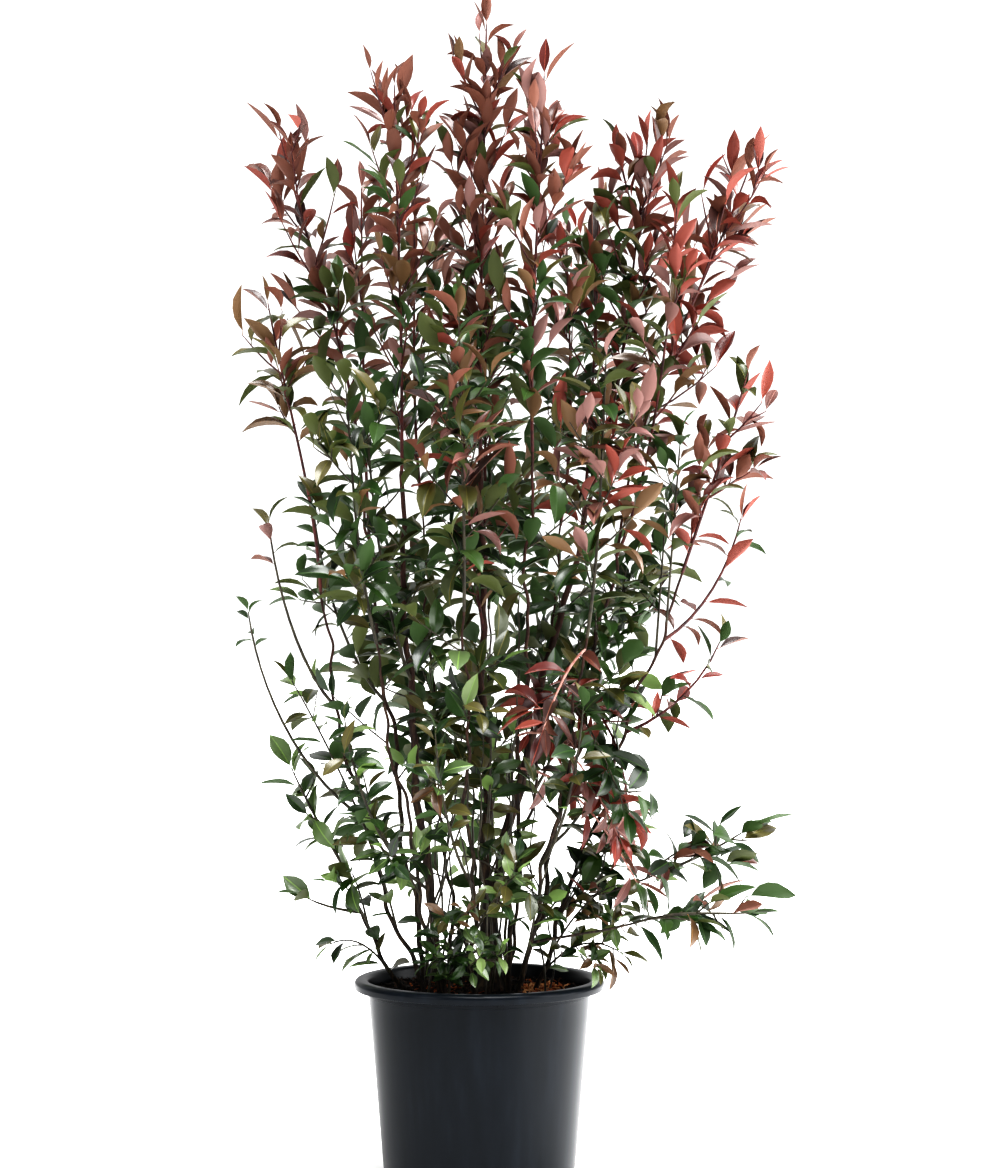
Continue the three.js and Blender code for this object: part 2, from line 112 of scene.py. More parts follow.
def newMaterial(name, settings):
    material = bpy.data.materials.new(name)
    material.use_nodes = True
    tree = material.node_tree
    shader = tree.nodes["Principled BSDF"]
    for socket, value in settings.items():
        shader.inputs[socket].default_value = value
    place = addNode(tree, "ShaderNodeTexCoord").outputs["Object"]
    return material, tree, shader, place


# Leaf tints by family. A spray's place and age choose the family, its leaves vary within it.
leafTints = {
    "bronze": ["#4f2b24", "#5e362b", "#341d19", "#6c493b", "#532d25"],
    "red": ["#702b22", "#5a231d", "#823d2f", "#421916"],
    # pale pink leaves: partly their own pinkish bronze, partly painted sheen
    "rose": ["#7f5752", "#6e4841"],
    "russet": ["#5e4630", "#513a28", "#6b513a"],
    "olive": ["#44441e", "#38401c", "#524c28"],
    "green": ["#172d0b", "#213b0f", "#102009", "#2c4615", "#1a330f"],
    "fresh": ["#475a34", "#596c44", "#6a7c4c"],
}
ribTints = {
    "bronze": "#7c4a38", "red": "#924636", "rose": "#9c746a", "russet": "#7e5c34",
    "olive": "#64602e", "green": "#34501f", "fresh": "#74904c",
}
undersideTints = {
    "bronze": "#74493a", "red": "#824034", "rose": "#82605a", "russet": "#6c5236",
    "olive": "#4a5228", "green": "#385026", "fresh": "#6a8446",
}


def leatheryLeaf(name, hexValue, roughness, coat):
    # evergreen leaf with a waxy cuticle: a soft gloss over a slightly pebbled surface
    material, tree, shader, place = newMaterial(name, {
        "Base Color": linearColour(hexValue),
        "Roughness": roughness,
        "IOR": 1.45,
        "Specular IOR Level": 0.5,
        "Coat Weight": coat,
        "Coat Roughness": 0.2,
    })
    pebbles = addNoise(tree, place, size=3.2, detail=2.0)
    addBump(tree, shader, pebbles, strength=0.25, depth=0.4)
    return material


def barkMaterial():
    # thin furrowed bark: grey-brown at the foot, redder on young wood
    material, tree, shader, place = newMaterial("furrowedBark", {"Roughness": 0.82, "IOR": 1.5})
    stretched = addNode(tree, "ShaderNodeMapping", {"Scale": (1.0, 1.0, 0.22)}, {"Vector": place})
    furrows = addNoise(tree, stretched.outputs["Vector"], size=5.0, detail=6.0, roughness=0.62)
    patches = addNoise(tree, stretched.outputs["Vector"], size=45, detail=2.0)
    oldBark = addRamp(tree, furrows, (0.34, "#110c09"), (0.5, "#291f17"), (0.7, "#534330"))
    youngBark = addRamp(tree, furrows, (0.3, "#1a0d0a"), (0.7, "#50281e"))
    height = addNode(tree, "ShaderNodeSeparateXYZ", {}, {"Vector": place})
    wander = addNode(tree, "ShaderNodeMath", {"operation": "MULTIPLY_ADD", 1: 0.5},
                     {0: patches, 2: height.outputs["Z"]})
    youth = addRange(tree, wander.outputs["Value"], (0.7, 1.35), (0.0, 1.0))
    colour = addNode(tree, "ShaderNodeMix", {"data_type": "RGBA"},
                     {"Factor": youth, 6: oldBark, 7: youngBark})
    tree.links.new(colour.outputs[2], shader.inputs["Base Color"])
    addBump(tree, shader, furrows, strength=0.7, depth=1.2)
    return material


def twigBark(name, hexDark, hexLight):
    # green wood under thin skin: semi-matt, faintly mottled
    material, tree, shader, place = newMaterial(name, {"Roughness": 0.55, "IOR": 1.46})
    mottle = addNoise(tree, place, size=14, detail=3.0)
    tone = addRamp(tree, mottle, (0.35, hexDark), (0.65, hexLight))
    tree.links.new(tone, shader.inputs["Base Color"])
    return material


def mouldedPlastic():
    # injection-moulded recycled polypropylene: blue-black, satin, with a fine grain and dust
    material, tree, shader, place = newMaterial("mouldedPolypropylene",
                                                {"IOR": 1.49, "Specular IOR Level": 0.16})
    drawn = addNode(tree, "ShaderNodeMapping", {"Scale": (1.0, 1.0, 0.12)}, {"Vector": place})
    speckle = addNoise(tree, place, size=0.9, detail=3.0)
    scuffs = addNoise(tree, drawn.outputs["Vector"], size=26, detail=5.0)
    tone = addRamp(tree, scuffs, (0.3, "#0e1318"), (0.55, "#12171d"), (0.8, "#191f26"))
    tree.links.new(tone, shader.inputs["Base Color"])
    tree.links.new(addRange(tree, scuffs, (0.0, 1.0), (0.24, 0.36)), shader.inputs["Roughness"])
    addBump(tree, shader, speckle, strength=0.12, depth=0.15)
    return material


def crumblyMaterial(name, hexDark, hexLight):
    # peat and shredded bark: matt, crumbly, with tan fibres
    material, tree, shader, place = newMaterial(name, {"Roughness": 0.95, "IOR": 1.4})
    crumbs = addNoise(tree, place, size=3.5, detail=6.0)
    tone = addRamp(tree, crumbs, (0.35, hexDark), (0.68, hexLight))
    tree.links.new(tone, shader.inputs["Base Color"])
    addBump(tree, shader, crumbs, strength=0.8, depth=1.5)
    return material


# Curves

class Bow:
    # a Bezier curve of any degree, measured along its length

    def __init__(self, *points):
        self.points = np.array(points, float)
        degree = len(points) - 1
        self.weights = [math.comb(degree, k) for k in range(degree + 1)]
        self.steps = np.linspace(0, 1, 61)
        along = self.at(self.steps)
        strides = np.linalg.norm(np.diff(along, axis=0), axis=1)
        self.travelled = np.concatenate([[0], np.cumsum(strides)])
        self.length = self.travelled[-1]

    def at(self, t):
        t = np.asarray(t, float)
        degree = len(self.points) - 1
        terms = [w * t ** k * (1 - t) ** (degree - k) for k, w in enumerate(self.weights)]
        return np.stack(terms, -1) @ self.points

    def point(self, place):
        return self.at(np.interp(np.asarray(place) * self.length, self.travelled, self.steps))

    def direction(self, place):
        ahead = self.point(np.minimum(np.asarray(place) + 0.004, 1))
        behind = self.point(np.maximum(np.asarray(place) - 0.004, 0))
        return unit(ahead - behind)


def unit(vector):
    return vector / np.linalg.norm(vector, axis=-1, keepdims=True)


up = np.array([0.0, 0.0, 1.0])
goldenAngle = math.pi * (3 - math.sqrt(5))

# The woody limbs, as the solids have them: foot or parent, tip, bow, and thickness at both ends
limbs = {
    "trunk": dict(foot=(18, 0), tip=(2, -8, 1160), bow=-10, thick=(38, 14)),
    "fork_bough": dict(parent="trunk", at=0.13, tip=(182, 52, 1090), bow=-6, thick=(24, 11), leafy=0.9),
    "dark_stem": dict(foot=(-58, -24), tip=(-122, -72, 1120), bow=22, thick=(22, 11)),
    "left_stem": dict(foot=(-88, 30), tip=(-192, 34, 1130), bow=4, thick=(16, 9)),
    "left_outer_stem": dict(foot=(-86, -34), tip=(-250, -64, 930), bow=34, thick=(14, 8), leafy=0.25),
    "left_low_stem": dict(foot=(-116, 0), tip=(-222, -14, 500), bow=12, thick=(14, 9)),
    "right_stem": dict(foot=(64, 30), tip=(242, 2, 1120), bow=10, thick=(16, 9), leafy=0.8),
    "right_outer_stem": dict(foot=(88, -8), tip=(322, -46, 960), bow=0, thick=(15, 8), leafy=2.0),
    "centre_right_stem": dict(foot=(46, -34), tip=(84, -84, 1150), bow=6, thick=(16, 9), leafy=0.5),
    "back_left_stem": dict(foot=(-38, 62), tip=(-96, 176, 1060), bow=14, thick=(16, 9)),
    "back_right_stem": dict(foot=(42, 70), tip=(134, 196, 1040), bow=14, thick=(15, 9)),
    "back_stem": dict(foot=(2, 88), tip=(14, 286, 900), bow=20, thick=(14, 8)),
    "front_stem": dict(foot=(-6, -66), tip=(-22, -206, 900), bow=18, thick=(15, 8)),
    "front_right_stem": dict(foot=(58, -66), tip=(166, -214, 860), bow=16, thick=(14, 8)),
    "front_left_stem": dict(foot=(-52, -70), tip=(-156, -192, 850), bow=16, thick=(13, 8)),
    "low_right_bough": dict(parent="right_outer_stem", at=0.2, tip=(296, -30, 486), bow=6,
                            thick=(9, 6), leafy=2.4, lowLeaves=0.7, fresh=0.05, warm=0.4),
    "low_front_right_bough": dict(parent="front_right_stem", at=0.16, tip=(286, -150, 428), bow=6,
                                  thick=(9, 6), leafy=2.4, lowLeaves=0.7, fresh=0.05, warm=0.4),
}

# Drawn thinner than that: a share of the thickness for each limb, and a further one at its tip
slimming = dict(trunk=0.9, dark_stem=0.78, fork_bough=0.8, back_stem=0.45, back_left_stem=0.45,
                back_right_stem=0.45, other=0.58, tip=0.85)
crooks = dict(stout=3.2, slender=5.5, stoutFrom=20)


def spray(on, at, tip, spread, tint, families="", **options):
    # a mass of foliage: its limb and the place on it, its furthest leaf, how far leaves stand from
    # its stem, the season's tint, and the leaf families where these don't follow the place.
    # Options: full (how many twigs), leaf (leaf size), bareTo (where leaves begin), tipShare (of
    # the spread at the tip), headroom, warm, rosy sheen (share of pale pink leaves, whose colour is partly
    # painted sheen) and fresh (leaf colour), lowest, arch
    return dict(options, on=on, at=at, tip=tip, spread=spread, tint=tint, families=families.split())


lowRightLeaves = "green " * 6 + "olive russet bronze"

# The foliage masses, rooted as the solids have them
foliage = dict(
    crown_top=spray("trunk", 1, (12, -12, 1892), 116, "bronze", full=1.45, tipShare=0.42),
    centre_front=spray("trunk", 0.66, (-32, -150, 1440), 110, "bronze"),
    centre_back=spray("trunk", 0.72, (10, 150, 1560), 112, "bronze", full=0.8),
    centre_low=spray("trunk", 0.24, (20, -150, 760), 90, "green", bareTo=0.35, full=0.4, leaf=0.72),
    right_leader=spray("fork_bough", 1, (280, 70, 1716), 116, "red", full=1.75, tipShare=1, headroom=20),
    right_back_leader=spray("fork_bough", 0.84, (196, 150, 1630), 105, "red", full=0.9),
    right_middle=spray("fork_bough", 0.52, (270, 130, 1060), 110, "green", full=1.7),
    hanging_red=spray("centre_right_stem", 0.5, (238, -132, 520), 74, "red", arch=70, headroom=400,
        leaf=1.0, full=0.9, tipShare=1),
    left_centre_leader=spray("dark_stem", 1, (-134, -84, 1782), 116, "bronze", full=1.1, tipShare=0.65),
    left_front_middle=spray("dark_stem", 0.6, (-176, -176, 1290), 100, "olive", full=1.1),
    left_front_low=spray("dark_stem", 0.2, (-186, -120, 690), 84, "green", bareTo=0.35, full=0.7,
        leaf=0.74),
    far_left_leader=spray("left_stem", 1, (-334, 26, 1722), 120, "bronze", tipShare=0.6, full=0.9),
    left_back_leader=spray("left_stem", 0.86, (-196, 140, 1650), 108, "bronze", full=0.5, tipShare=1,
        bareTo=0.5, warm=0.3),
    left_back_middle=spray("left_stem", 0.55, (-280, 140, 1130), 110, "green", full=0.4),
    left_back_low=spray("left_stem", 0.2, (-220, 110, 700), 92, "green", bareTo=0.35, full=0.4),
    far_left_shoulder=spray("left_outer_stem", 1, (-342, -72, 1440), 108, "bronze", full=1.1, bareTo=0.5,
        tipShare=0.4, families="bronze russet russet olive olive bronze"),
    left_middle=spray("left_outer_stem", 0.72, (-338, -50, 1100), 92, "olive", full=0.05, bareTo=0.75),
    left_lone_twig=spray("left_outer_stem", 0.44, (-368, -60, 930), 56, "light", full=0, bareTo=0.83,
        leaf=0.55),
    low_left_twig=spray("left_low_stem", 1, (-322, -20, 700), 80, "light", full=0.8, tipShare=0.9,
        leaf=1.0, fresh=0.8, families="fresh fresh green"),
    low_left_front=spray("left_low_stem", 0.62, (-302, -84, 480), 80, "light", fresh=0.25, lowest=445,
        full=1.9),
    right_top_leader=spray("right_stem", 1, (452, -4, 1666), 120, "red", full=1.2, tipShare=0.6),
    right_front_leader=spray("right_stem", 0.84, (312, -96, 1600), 105, "red", full=0.5, rosy=0.35),
    right_back_low=spray("right_stem", 0.28, (236, 96, 790), 92, "green", bareTo=0.35, full=0.05),
    right_shoulder=spray("right_outer_stem", 1, (440, -58, 1330), 96, "red", warm=-0.1, full=0.8,
        families="bronze bronze red rose olive"),
    right_elbow=spray("right_outer_stem", 0.84, (430, 44, 1100), 84, "red", full=0.05,
        families="bronze red olive green"),
    right_low=spray("right_outer_stem", 0.62, (392, -70, 900), 80, "red", full=0.35,
        families="bronze rose red olive green"),
    low_right_twig=spray("low_right_bough", 1, (480, -34, 590), 84, "green", leaf=1.22, tipShare=1,
        headroom=10, full=1.8, families=lowRightLeaves),
    low_front_right_twig=spray("low_front_right_bough", 1, (488, -150, 440), 80, "green", leaf=1.22,
        tipShare=1, headroom=60, full=1.5, families=lowRightLeaves),
    centre_right_leader=spray("centre_right_stem", 1, (104, -92, 1796), 108, "bronze", full=0.95,
        rosy=0.25),
    back_left_leader=spray("back_left_stem", 1, (-112, 230, 1640), 116, "bronze", full=0.8),
    back_left_middle=spray("back_left_stem", 0.42, (-150, 280, 1040), 110, "green", full=0.9),
    back_right_leader=spray("back_right_stem", 1, (146, 262, 1600), 116, "bronze", full=0.8),
    back_right_middle=spray("back_right_stem", 0.42, (180, 280, 1000), 110, "green", full=0.6),
    back_leader=spray("back_stem", 1, (14, 360, 1420), 116, "olive"),
    back_low=spray("back_stem", 0.26, (0, 310, 680), 100, "green", bareTo=0.35, full=0.35),
    front_leader=spray("front_stem", 1, (-30, -290, 1400), 116, "olive", warm=0.2),
    front_low=spray("front_stem", 0.3, (-66, -300, 760), 100, "green", bareTo=0.35, full=0.5, leaf=0.72),
    front_right_leader=spray("front_right_stem", 1, (196, -262, 1340), 112, "olive", warm=0.3, rosy=0.45,
        full=1.15, bareTo=0.12),
    front_right_low=spray("front_right_stem", 0.38, (160, -290, 800), 96, "green", bareTo=0.35, full=0.2,
        leaf=0.74),
    front_left_leader=spray("front_left_stem", 1, (-206, -246, 1300), 112, "olive"),
    front_left_low=spray("front_left_stem", 0.34, (-206, -250, 780), 96, "green", bareTo=0.35, full=0.45,
        leaf=0.74),
)

potSizes = dict(height=312, rimRadius=200, lipHeight=16, topRadius=178, footRadius=153,
                undersideRadius=150, footEdge=7, wall=4, floor=5, soilDown=22, segments=144)
soilTop = potSizes["height"] - potSizes["soilDown"]
footHeight = soilTop + 0.3


def limbCurve(start, tip, bow):
    outward = unit(np.array([tip[0], tip[1], 0.0]))
    low = start + (tip - start) / 3 + outward * bow
    high = start + (tip - start) * 2 / 3 + outward * bow
    return Bow(start, low, high, tip)


class Wander(Bow):
    # a limb's curve with the small crooks of a grown stem, none at its two ends

    def __init__(self, whole, phase, reach):
        super().__init__(*whole.points)
        self.phase, self.reach = phase, reach

    def point(self, place):
        place = np.asarray(place, float)
        height = place * self.length
        fade = np.minimum(1, np.minimum(place, 1 - place) * 8)
        p = self.phase
        x = np.sin(height / 46 + p) + 0.6 * np.sin(height / 21 + 2.3 * p) + 0.25 * np.sin(height / 9 + 5 * p)
        y = np.cos(height / 53 + 1.7 * p) + 0.6 * np.sin(height / 24 + 3.1 * p)
        crook = np.stack([x, y, np.zeros_like(x)], -1) * (fade * self.reach)[..., None]
        return super().point(place) + crook


for number, (name, limb) in enumerate(limbs.items()):
    if "parent" in limb:
        start = limbs[limb["parent"]]["curve"].point(limb["at"])
    else:
        start = np.array([*limb["foot"], footHeight])
    whole = limbCurve(start, np.array(limb["tip"], float), limb["bow"])
    foot, end = limb["thick"]
    limb["curve"] = Wander(whole, number * 1.9, crooks["stout" if foot > crooks["stoutFrom"] else "slender"])
    share = slimming.get(name, slimming["other"])
    limb["thick"] = (foot * share, end * share * slimming["tip"])


def massCurve(mass):
    curve = limbs[mass["on"]]["curve"]
    tip = np.array(mass["tip"], float)
    start = curve.point(mass["at"])
    if mass["at"] == 1:                      # a leader goes on the way its limb ends
        reach = np.linalg.norm(tip - start) / 3
        high = tip + (start - tip) / 3 - up * reach / 6
        return Bow(start, start + curve.direction(1) * reach, high, tip)
    outward = tip - start                    # a side shoot leaves its limb nearly level, then rises
    rise = outward[2]
    outward[2] = 0
    arch = mass.get("arch", 0)
    low = start + outward * 0.5 + up * (arch or rise * 0.16)
    high = start + outward * 0.94 + up * (arch or rise * 0.56)
    return Bow(start, low, high, tip)


# Meshes gathered as arrays, for what is too many to model one by one

def newObject(name, data):
    piece = bpy.data.objects.new(name, data)
    bpy.context.scene.collection.objects.link(piece)
    return piece


class Bundle:
    def __init__(self):
        self.points, self.quads, self.slots, self.count = [], [], [], 0

    def add(self, points, quads, slots):
        self.points.append(points)
        self.quads.append(quads + self.count)
        self.slots.append(np.broadcast_to(slots, len(quads)))
        self.count += len(points)

    def toObject(self, name, materials):
        points = np.concatenate(self.points) * mm
        quads = np.concatenate(self.quads)
        mesh = bpy.data.meshes.new(name)
        mesh.vertices.add(len(points))
        mesh.vertices.foreach_set("co", points.ravel())
        mesh.loops.add(quads.size)
        mesh.loops.foreach_set("vertex_index", quads.ravel())
        mesh.polygons.add(len(quads))
        for field, values in (("loop_start", np.arange(len(quads)) * 4),
                              ("loop_total", np.full(len(quads), 4)),
                              ("material_index", np.concatenate(self.slots)),
                              ("use_smooth", np.ones(len(quads), bool))):
            mesh.polygons.foreach_set(field, values)
        mesh.update(calc_edges=True)
        mesh.validate()
        for material in materials:
            mesh.materials.append(material)
        return newObject(name, mesh)


def squareTo(along):
    # two directions square to each of those along a curve
    side = unit(np.cross(along, [0.31, 0.87, 0.2]))     # any slanting axis will do
    return side, np.cross(along, side)


def tubeArrays(curve, startRadius, tipRadius, sides, rings):
    # a tapering twig, its end drawn to a point
    places = np.linspace(0, 1, rings)
    centres = curve.point(places)
    side, across = squareTo(curve.direction(places))
    turns = np.arange(sides) * 2 * math.pi / sides
    radii = startRadius + (tipRadius - startRadius) * places
    radii[-1] *= 0.6
    ring = np.cos(turns)[None, :, None] * side[:, None] + np.sin(turns)[None, :, None] * across[:, None]
    points = (centres[:, None] + ring * radii[:, None, None]).reshape(-1, 3)
    near = np.arange(sides)
    far = (near + 1) % sides
    quads = [np.stack([near, far, far + sides, near + sides], 1) + sides * k for k in range(rings - 1)]
    return points, np.concatenate(quads)


# Leaves

leafShape = dict(
    stations=[0.0, 0.11, 0.28, 0.48, 0.68, 0.86, 1.0],
    halfWidths=[0.05, 0.4, 0.83, 1.0, 0.84, 0.4, 0.01],
    stalk=0.1,
    ribShare=0.06,              # of the blade's width
    stalkRadius=0.013,
    thick=0.009,
    lift=0.16,                  # how steeply the blade leaves the stalk, in radians
    bulge=0.07,                 # swelling of each half
)


def leafArrays(fold, bend, twist, wave, width):
    # one leaf of unit length along Y, its upper face towards Z: stalk, blade folded up from
    # the midrib, tip bending back. Slots: 0 blade, 1 midrib and stalk, 2 underside.
    stations = np.array(leafShape["stations"])
    halves = np.array(leafShape["halfWidths"]) * width / 2
    rib = leafShape["ribShare"] * width
    count = len(stations)
    angle = leafShape["lift"] - bend * stations
    step = np.diff(stations, prepend=0) * (1 - leafShape["stalk"])
    midY = leafShape["stalk"] + np.cumsum(step * np.cos(angle))
    midZ = np.cumsum(step * np.sin(angle))
    spine = np.stack([np.zeros(count), midY, midZ], 1)
    turn = twist * stations
    sideways = np.stack([np.cos(turn), np.zeros(count), np.sin(turn)], 1)
    upward = unit(np.stack([-np.sin(turn), -np.sin(angle), np.cos(turn) * np.cos(angle)], 1))
    rows = []
    for share in (-1.0, -0.5, -1e-9, 1e-9, 0.5, 1.0):
        sign = math.copysign(1, share)
        reach = halves * abs(share) if abs(share) > 0.01 else np.minimum(rib * 0.5, halves * 0.5)
        bulge = leafShape["bulge"] * halves if abs(share) == 0.5 else 0
        ripple = wave * halves * np.sin(stations * 9 + sign) if abs(share) == 1 else 0
        lift = reach * math.tan(fold) + bulge + ripple
        lift = np.broadcast_to(lift, count)
        rows.append(spine + sideways * (sign * reach)[:, None] + upward * lift[:, None])
    top = np.stack(rows, 1)
    low = spine - upward * leafShape["thick"]
    bottom = np.stack([top[:, 0], low, top[:, 5]], 1)
    points = np.concatenate([top.reshape(-1, 3), bottom.reshape(-1, 3)])
    quads, slots = [], []
    for k in range(count - 1):
        for column in range(5):
            a = 6 * k + column
            quads.append([a, a + 1, a + 7, a + 6])
            slots.append(1 if column == 2 else 0)
        for column in range(2):
            a = 6 * count + 3 * k + column
            quads.append([a, a + 3, a + 4, a + 1])
            slots.append(2)
    stalkCurve = Bow((0, 0, 0), (0, leafShape["stalk"] + 0.02, 0.004))
    stalk, stalkQuads = tubeArrays(stalkCurve, leafShape["stalkRadius"], 0.012, 3, 2)
    quads = np.concatenate([np.array(quads), stalkQuads + len(points)])
    slots = np.array(slots + [1] * len(stalkQuads))
    return np.concatenate([points, stalk]), quads, slots


def leafVariants(seed, count, foldRange, bendRange, widthRange):
    draw = random(seed)
    return [leafArrays(draw.uniform(*foldRange), draw.uniform(*bendRange), draw.uniform(-0.5, 0.5),
                       draw.uniform(0.02, 0.1), draw.uniform(*widthRange)) for _ in range(count)]


# How far the halves fold up, how far the tip bends back (both in radians), and width by length
youngLeaves = leafVariants(11, 12, (0.35, 0.85), (0.1, 1.0), (0.26, 0.35))
grownLeaves = leafVariants(12, 12, (0.2, 0.55), (0.3, 1.2), (0.31, 0.42))
broadLeaves = leafVariants(13, 12, (0.1, 0.42), (0.2, 1.0), (0.38, 0.48))

growth = dict(
    leafLength=73,
    leafSizes=(0.72, 1.2),      # shares of the length
    leafSpacing=14,
    roll=0.28,                  # how far leaves are turned about their length, in radians
    tries=3,                    # turns tried for a leaf before it is left out
    broadBelow=850,
    bareLongerThan=150,
    twigEvery=38,
    twigLengths=(0.6, 1.5),     # shares of the mass's spread, less part of a leaf
    twigRadius=1.7,
    shortest=16,
    twiglets=0.35,              # chance of each of the two side twigs
    twigletsFrom=44,
    fromLimb=2,
    fromPot=3,
    lowest=378,
    apart=45,
    limbTwigEvery=46,
    limbTwigLengths=(60, 150),
    limbTwigsFrom=400,
    uprightFrom=800,
    uprightAt=1560,
)
# What changes with height in mm: leaf size, warmth from green (0) to red (1), and how many of the
# green leaves are fresh
leafSizeAt = ([450, 850, 1100, 1500], [0.86, 1.0, 1.05, 0.96])
warmthAt = ([700, 950, 1200, 1450, 1700], [0.1, 0.18, 0.22, 0.5, 1.0])
freshAt = ([350, 640, 900, 1000], [0.34, 0.22, 0.04, 0])


def byHeight(point, low, high):
    # low branches spread and droop, high ones stand up
    return np.interp(point[2], [growth["uprightFrom"], growth["uprightAt"]], [low, high])


for mass in foliage.values():
    mass["curve"] = massCurve(mass)
    mass.setdefault("tipShare", 0.46)
    mass["ceiling"] = mass["tip"][2] + mass.get("headroom", 4)
    mass["spine"] = mass["curve"].point(np.linspace(0, 1, max(8, int(mass["curve"].length / 18))))

limbSpine, limbRadii = [], []
for limb in limbs.values():
    rings = int(limb["curve"].length / 12)
    limbSpine.append(limb["curve"].point(np.linspace(0, 1, rings)))
    limbRadii.append(np.linspace(limb["thick"][0], limb["thick"][1], rings) / 2)
limbSpine, limbRadii = np.concatenate(limbSpine), np.concatenate(limbRadii)


def leastDistance(points, spine, radii=0):
    offsets = points[:, None] - spine[None]
    return (np.sqrt((offsets ** 2).sum(-1)) - radii).min(1)


def fits(points, mass):
    # within the mass's spread, nearer to its stem than to any other's, clear of limbs and pot
    offsets = np.sqrt(((points[:, None] - mass["spine"][None]) ** 2).sum(-1))
    own = offsets.min(1)
    nearest = offsets.argmin(1) / (len(mass["spine"]) - 1)
    spreadAt = np.interp(nearest, [0, 0.55, 0.8, 1], [1, 1, 0.8, mass["tipShare"]])
    if (own > mass["spread"] * spreadAt).any():
        return False
    lowest = mass.get("lowest", growth["lowest"])
    if (points[:, 2] > mass["ceiling"]).any() or (points[:, 2] < lowest).any():
        return False
    if mass["others"] is None:
        if (leastDistance(points, massSpines) < mass.get("apart", growth["apart"])).any():
            return False
    elif (leastDistance(points, mass["others"]) < own).any():
        return False
    fromAxis = np.hypot(points[:, 0], points[:, 1])
    low = points[:, 2] < potSizes["height"] + growth["fromPot"]
    if (low & (fromAxis < potSizes["rimRadius"] + growth["fromPot"])).any():
        return False
    return (leastDistance(points, limbSpine, limbRadii) > growth["fromLimb"]).all()


massSpines = np.concatenate([mass["spine"] for mass in foliage.values()])
for name, mass in foliage.items():
    mass["others"] = np.concatenate([other["spine"] for key, other in foliage.items() if key != name])


def directionsAt(curve, place, turn):
    along = curve.direction(place)
    level = unit(np.array([0.0, 1.0, 0.0]) - along * along[1])
    across = np.cross(along, level)
    return along, level * math.cos(turn) + across * math.sin(turn)


def sprayWarmth(mass, point, draw):
    # how far a spray is from green (0) to red (1): young shoots are red at the right and
    # bronze at the left, and the inside and the foot of the plant are green
    x, y, z = point
    warmth = np.interp(z, *warmthAt)
    warmth += np.interp(x, [240, 370], [0.0, 0.48]) * np.interp(z, [640, 820], [0, 1])
    warmth += np.interp(-x, [180, 330], [0.0, 0.16]) * np.interp(z, [1000, 1150], [0, 1])
    if mass["tint"] == "green" and z < 1300:
        warmth -= 0.2
    if mass["tint"] == "light":
        warmth -= 0.5
    warmth += mass.get("warm", 0)
    if mass.get("arch"):
        warmth = 1
    return warmth + draw.normal(0, 0.17)


def familyFor(mass, point, warmth, draw):
    if mass.get("families"):
        return mass["families"][draw.randint(len(mass["families"]))]
    roll = draw.uniform()
    if mass.get("arch"):
        # a knot of dark green leaves sits inside the drooping red spray
        if point[0] > 140 and 600 < point[2] < 735:
            return "green" if roll < 0.85 else "bronze"
        if point[2] > 650:
            return "red" if roll < 0.8 else "bronze"
        return "red" if roll < 0.4 else ("bronze" if roll < 0.6 else "rose")
    if warmth > 0.56:
        redShare = np.interp(point[0], [-120, 60, 280], [0.1, 0.22, 0.48])
        if roll < redShare:
            return "red"
        # pale pink leaves, their colour partly painted sheen
        rosyShare = mass.get("rosy", 0.12)
        if roll > 1 - rosyShare:
            return "rose"
        if roll > 0.86 - rosyShare:
            return "russet" if roll > 0.94 - rosyShare else "olive"
        return "bronze"
    greener = np.interp(abs(point[0]), [130, 260], [0.28, 0.06])
    if warmth > 0.33:
        return "russet" if roll < 0.3 else ("olive" if roll < 1 - greener else "green")
    lowOlive = np.interp(point[0], [-180, -60], [0.26, 0.42])
    if roll < np.interp(point[2], [1000, 1200], [lowOlive, 0.75 - 1.8 * greener]):
        return "olive"
    freshShare = mass.get("fresh", np.interp(point[2], *freshAt))
    return "fresh" if draw.uniform() < freshShare else "green"


def leafStops(length, every, draw):
    # distances back from the tip: close together at first, then at the stem's own spacing
    stops = [2, 6, 14]
    while stops[-1] < length * 0.9:
        stops.append(stops[-1] + every * draw.uniform(0.75, 1.25))
    return stops


